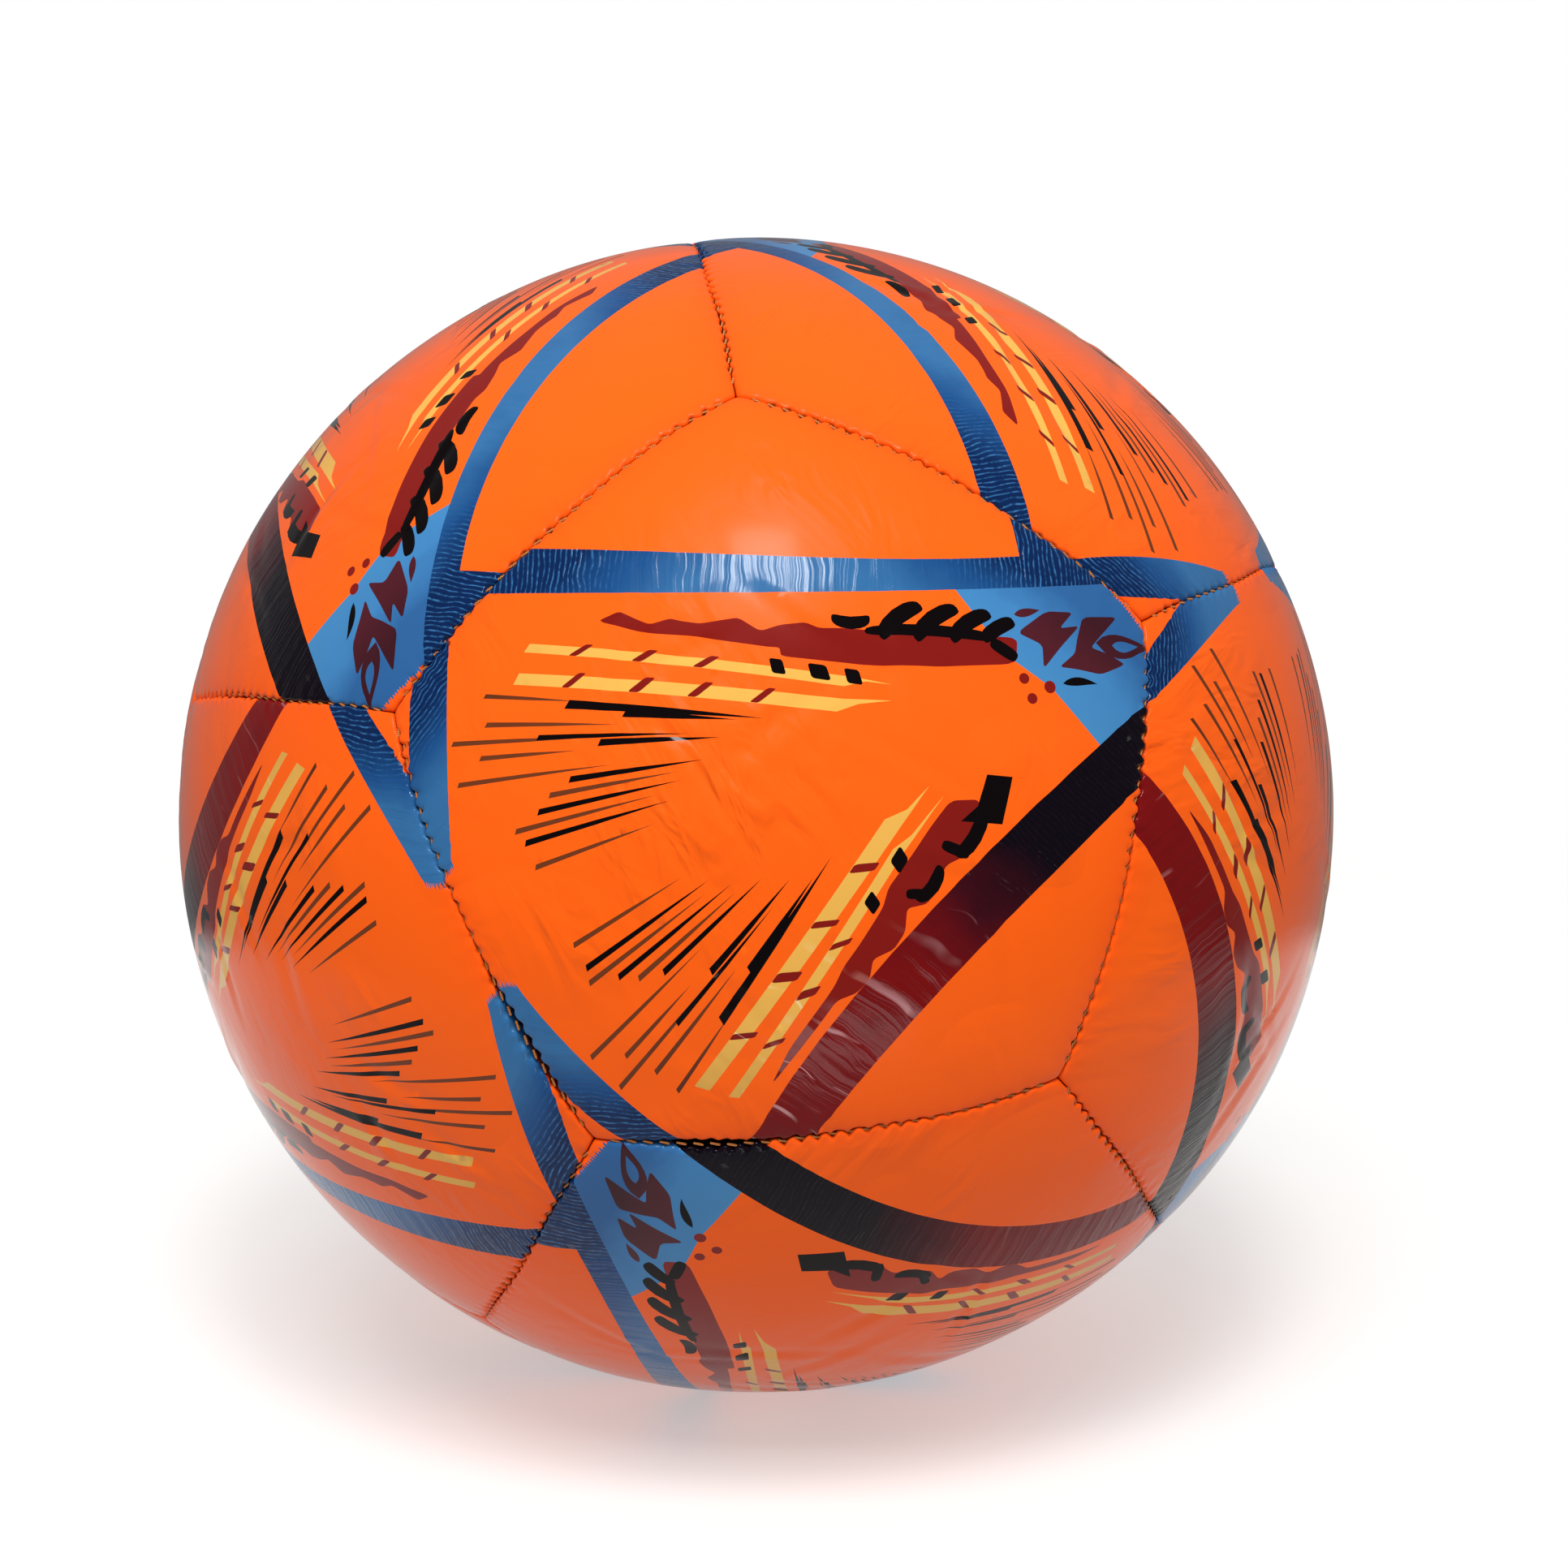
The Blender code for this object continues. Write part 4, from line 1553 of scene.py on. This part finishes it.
@dataclass
class SeamStitches:
    """Waxed thread that shows in the pits of the seams, one short stitch at each."""

    plan: BallPlan
    fold: SeamFold
    material: bpy.types.Material
    length: float = 1.7 * MM
    thread: float = 0.22 * MM
    nose: float = 0.2 * MM
    below: float = 1.05 * MM
    slant: float = 0.25

    def build(self) -> bpy.types.Object:
        """Models one stitch and repeats it along the thirty seams.

        Returns:
            All the stitches as one piece.
        """
        deselect_all()
        bpy.ops.mesh.primitive_cylinder_add(vertices=6, radius=self.thread, depth=self.length - 2 * self.nose)
        one = bpy.context.active_object
        for sign in (-1, 1):
            bpy.ops.object.mode_set(mode="EDIT")
            bpy.ops.mesh.select_mode(type="FACE")
            bpy.ops.mesh.select_all(action="DESELECT")
            bpy.ops.object.mode_set(mode="OBJECT")
            for face in one.data.polygons:
                face.select = face.normal.z * sign > 0.9
            bpy.ops.object.mode_set(mode="EDIT")
            bpy.ops.mesh.extrude_region_move(TRANSFORM_OT_translate={"value": (0.0, 0.0, sign * self.nose)})
            bpy.ops.transform.resize(value=(0.7, 0.7, 1.0), center_override=(0.0, 0.0, 0.0))
            bpy.ops.object.mode_set(mode="OBJECT")
        points = np.array([tuple(v.co) for v in one.data.vertices])
        faces = [tuple(p.vertices) for p in one.data.polygons]
        bpy.data.objects.remove(one, do_unlink=True)
        all_points, all_faces = [], []
        for place in self.places():
            first = len(all_points) * len(points)
            matrix = np.array(place)
            all_points.append(points @ matrix[:3, :3].T + matrix[:3, 3])
            all_faces += [tuple(first + k for k in face) for face in faces]
        mesh = bpy.data.meshes.new("seam_stitches")
        mesh.from_pydata(np.concatenate(all_points).tolist(), [], all_faces)
        mesh.materials.append(self.material)
        piece = bpy.data.objects.new("seam_stitches", mesh)
        bpy.context.scene.collection.objects.link(piece)
        mesh.shade_smooth()
        return piece

    def places(self) -> list[Matrix]:
        """Where each stitch lies: its long way along the seam, a little slanted.

        Returns:
            One matrix per stitch.
        """
        count = int((self.fold.half_side - 3 * MM) / self.fold.stitch_pitch)
        places = []
        for seam, (middle, run) in enumerate(self.plan.seams):
            inward = run.cross(middle)
            for step in range(-count, count + 1):
                reach = step * self.fold.stitch_pitch
                angle = reach / self.plan.radius
                out = middle * math.cos(angle) + run * math.sin(angle)
                drift = float(self.fold.drift(np.array([reach]), seam)[0])
                along = (run * math.cos(angle) - middle * math.sin(angle) + self.slant * inward).normalized()
                across = along.cross(out).normalized()
                turned = Matrix((across, along.cross(across), along)).transposed()
                spot = out * (self.plan.radius - self.below) - inward * drift
                places.append(Matrix.Translation(spot) @ turned.to_4x4())
        return places


# The studio.


@dataclass
class Studio:
    """A pale floor, soft light and the camera."""

    floor_z: float
    distance: float = 0.609
    elevation_deg: float = 12.0
    lens: float = 72.3
    shift: Point = (0.0179, 0.0197)
    air_light: float = 0.60
    low_light: float = 0.20
    mirror_light: float = 0.10
    mirror_light_behind: float = 0.24
    key_watts: float = 12.5
    window_watts: float = 5.2
    glow_watts: float = 0.9
    floor_reach: float = 0.62
    floor_own_light: float = 0.42
    floor_bounce: float = 0.46

    def build(self) -> None:
        """Builds the floor, the lights and the camera."""
        self.build_floor()
        self.build_camera()
        key = self.add_softbox("key_softbox", (-0.10, -0.86, 1.11), (0.8, 0.55), self.key_watts)
        key.visible_glossy = False
        self.add_softbox("window", (0.045, -0.78, 1.28), (0.27, 0.32), self.window_watts)
        glow = self.add_softbox("floor_glow", (0.31, -0.99, -0.60), (0.5, 0.24), self.glow_watts)
        glow.visible_camera = False
        glow.visible_diffuse = False
        self.build_air()
        bpy.context.scene.view_settings.view_transform = "Standard"

    def build_air(self) -> None:
        """A white backdrop all round that lights the ball only softly."""
        world = bpy.data.worlds.new("studio_air")
        bpy.context.scene.world = world
        world.use_nodes = True
        tree = world.node_tree
        ray = add_node(tree, "ShaderNodeLightPath")
        toward = add_node(tree, "ShaderNodeTexCoord").outputs["Generated"]
        axes = add_node(tree, "ShaderNodeSeparateXYZ", {}, {0: toward})
        behind = add_node(
            tree,
            "ShaderNodeMapRange",
            {"From Min": 0.1, "From Max": 1.0, "To Min": self.mirror_light, "To Max": self.mirror_light_behind},
            {"Value": axes.outputs["Y"]},
        )
        above = add_node(
            tree,
            "ShaderNodeMapRange",
            {"From Min": -0.5, "From Max": 0.5, "To Min": self.low_light, "To Max": self.air_light},
            {"Value": axes.outputs["Z"]},
        )
        lit = add_node(
            tree,
            "ShaderNodeMapRange",
            {},
            {"Value": ray.outputs["Is Glossy Ray"], "To Min": above.outputs[0], "To Max": behind.outputs[0]},
        )
        level = add_node(
            tree,
            "ShaderNodeMapRange",
            {"To Max": 1.0},
            {"Value": ray.outputs["Is Camera Ray"], "To Min": lit.outputs[0]},
        )
        tree.links.new(level.outputs[0], tree.nodes["Background"].inputs["Strength"])
        tree.nodes["Background"].inputs["Color"].default_value = (1.0, 1.0, 1.0, 1.0)

    def build_floor(self) -> None:
        """A matt white floor under the ball that melts into the backdrop further out."""
        deselect_all()
        bpy.ops.mesh.primitive_circle_add(
            vertices=96, radius=self.floor_reach, fill_type="NGON", location=(0, 0, self.floor_z)
        )
        floor = bpy.context.active_object
        floor.name = "floor"
        material, tree, shader = new_material("matt_paint_white")
        place = add_node(tree, "ShaderNodeTexCoord").outputs["Object"]
        grain = add_node(tree, "ShaderNodeTexNoise", {"Scale": 300.0}, {"Vector": place})
        bump = add_node(
            tree, "ShaderNodeBump", {"Strength": 0.1, "Distance": 0.2 * MM}, {"Height": grain.outputs["Fac"]}
        )
        tree.links.new(bump.outputs[0], shader.inputs["Normal"])
        away = add_node(tree, "ShaderNodeVectorMath", {"operation": "LENGTH"}, {0: place}).outputs["Value"]
        solid = add_node(
            tree,
            "ShaderNodeMapRange",
            {
                "interpolation_type": "SMOOTHSTEP",
                "From Min": 0.12,
                "From Max": self.floor_reach * 0.98,
                "To Min": 1.0,
                "To Max": 0.0,
            },
            {"Value": away},
        )
        depth = add_node(tree, "ShaderNodeSeparateXYZ", {}, {0: place}).outputs["Y"]
        front = add_node(
            tree,
            "ShaderNodeMapRange",
            {"From Min": -0.22, "From Max": 0.10, "To Min": 0.12, "To Max": 0.85},
            {"Value": depth},
        )
        mirrored = add_node(
            tree,
            "ShaderNodeMapRange",
            {"From Min": 0.38, "From Max": 0.33},
            {"Value": away, "To Max": front.outputs[0]},
        )
        ray = add_node(tree, "ShaderNodeLightPath")
        seen = add_node(
            tree,
            "ShaderNodeMapRange",
            {},
            {"Value": ray.outputs["Is Glossy Ray"], "To Min": solid.outputs[0], "To Max": mirrored.outputs[0]},
        )
        soft = add_node(
            tree, "ShaderNodeMath", {"operation": "MULTIPLY", 1: self.floor_bounce}, {0: solid.outputs[0]}
        )
        shown = add_node(
            tree,
            "ShaderNodeMapRange",
            {},
            {"Value": ray.outputs["Is Diffuse Ray"], "To Min": seen.outputs[0], "To Max": soft.outputs[0]},
        )
        tree.links.new(shown.outputs[0], shader.inputs["Alpha"])
        shader.inputs["Base Color"].default_value = linear("CFCFCD")
        shader.inputs["Emission Color"].default_value = linear("FFFFFF")
        shader.inputs["Emission Strength"].default_value = self.floor_own_light
        shader.inputs["Roughness"].default_value = 0.9
        shader.inputs["Specular IOR Level"].default_value = 0.1
        floor.data.materials.append(material)
        floor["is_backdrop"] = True

    def build_camera(self) -> None:
        """The camera, in front and a little above."""
        camera = bpy.data.cameras.new("camera")
        camera.lens = self.lens
        camera.sensor_width = 36.0
        camera.shift_x, camera.shift_y = self.shift
        camera.clip_start = 0.01
        holder = bpy.data.objects.new("camera", camera)
        bpy.context.scene.collection.objects.link(holder)
        angle = math.radians(self.elevation_deg)
        holder.location = (0, -self.distance * math.cos(angle), self.distance * math.sin(angle))
        holder.rotation_euler = (math.pi / 2 - angle, 0, 0)
        bpy.context.scene.camera = holder

    def add_softbox(
        self, name: str, place: tuple[float, float, float], size: Point, watts: float
    ) -> bpy.types.Object:
        """A rectangular light that faces the ball.

        Args:
            name: The light's name.
            place: Where it stands, in metres.
            size: Its width and height.
            watts: Its power.

        Returns:
            The light.
        """
        light = bpy.data.lights.new(name, "AREA")
        light.shape = "RECTANGLE"
        light.size, light.size_y = size
        light.energy = watts
        holder = bpy.data.objects.new(name, light)
        bpy.context.scene.collection.objects.link(holder)
        holder.location = place
        holder.rotation_euler = (-Vector(place)).to_track_quat("-Z", "Y").to_euler()
        return holder


@dataclass
class InnerParts:
    """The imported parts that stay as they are: pads, backings, bladder, patch and valve."""

    nodes: dict[str, bpy.types.Object]

    def dress(self) -> None:
        """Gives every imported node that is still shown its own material."""
        foam = MouldedSoft("cut_eva_foam", "D9D6CB", "C9C5B6", 0.6 * MM, 0.9).build()
        backing = Cloth("woven_polycotton_backing", "C8C2B0", "8F897A", 0.5 * MM).build()
        bladder = MouldedSoft("moulded_butyl_bladder", "121212", "1E1E1D", 0.8 * MM, 0.6).build()
        patch = MouldedSoft("butyl_patch", "1C1B1B", "2A2928", 0.7 * MM, 0.65).build()
        valve = MouldedSoft("moulded_valve_rubber", "171717", "242322", 0.4 * MM, 0.5).build()
        core = MouldedSoft("pale_rubber_core", "CFC9BB", "BDB6A6", 0.4 * MM, 0.5).build()
        chosen = {
            "foam": foam,
            "backing": backing,
            "bladder": bladder,
            "balance": patch,
            "valve_body": valve,
            "valve_core": core,
        }
        for name, node in self.nodes.items():
            for start, material in chosen.items():
                if name.startswith(start):
                    node.data.materials.clear()
                    node.data.materials.append(material)


def main() -> None:
    """Builds the ball's pieces in order, then the studio."""
    logging.basicConfig(level=logging.INFO, format="%(message)s")
    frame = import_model()
    plan = BallPlan().measure()
    LOG.info("ball radius %.1f mm", plan.radius / MM)
    fold = SeamFold()
    chart = PanelChart(plan.radius)
    artwork = Artwork().compose()
    blank = PanelBlank(chart, fold, artwork).cut()
    LOG.info("blank: %d points, %d faces", len(blank.points), len(blank.faces))
    back = PanelBlank(chart, fold, artwork, valve_hole=VALVE_HOLE).cut()
    inks = [INKS[ink].build() for ink in Ink]
    cloth = Cloth("cotton_lining", "C8C2B0", "8F897A", 0.5 * MM).build()
    for index in range(1, 13):
        crumple = MUCH_HANDLED if index == FRONT_PANEL else LIGHTLY_HANDLED
        skin = PanelSkin(back if index == VALVE_PANEL else blank, plan, index, crumple)
        piece = skin.build()
        skin.thicken(piece, [*inks, cloth])
        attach(piece, BODY)
        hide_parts(f"skin_{index:02d}")
        LOG.info("%s: %d faces", piece.name, len(piece.data.polygons))
    thread = Cloth("waxed_polyester_stitch", "F0A458", "A85A20", 0.3 * MM, 0.5).build()
    stitches = SeamStitches(plan, fold, thread).build()
    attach(stitches, BODY)
    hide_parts("seam_thread")
    LOG.info("%s: %d faces", stitches.name, len(stitches.data.polygons))
    InnerParts(frame["nodes"]).dress()
    Studio(floor_z=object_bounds()[0][2]).build()


if __name__ == "__main__":
    main()
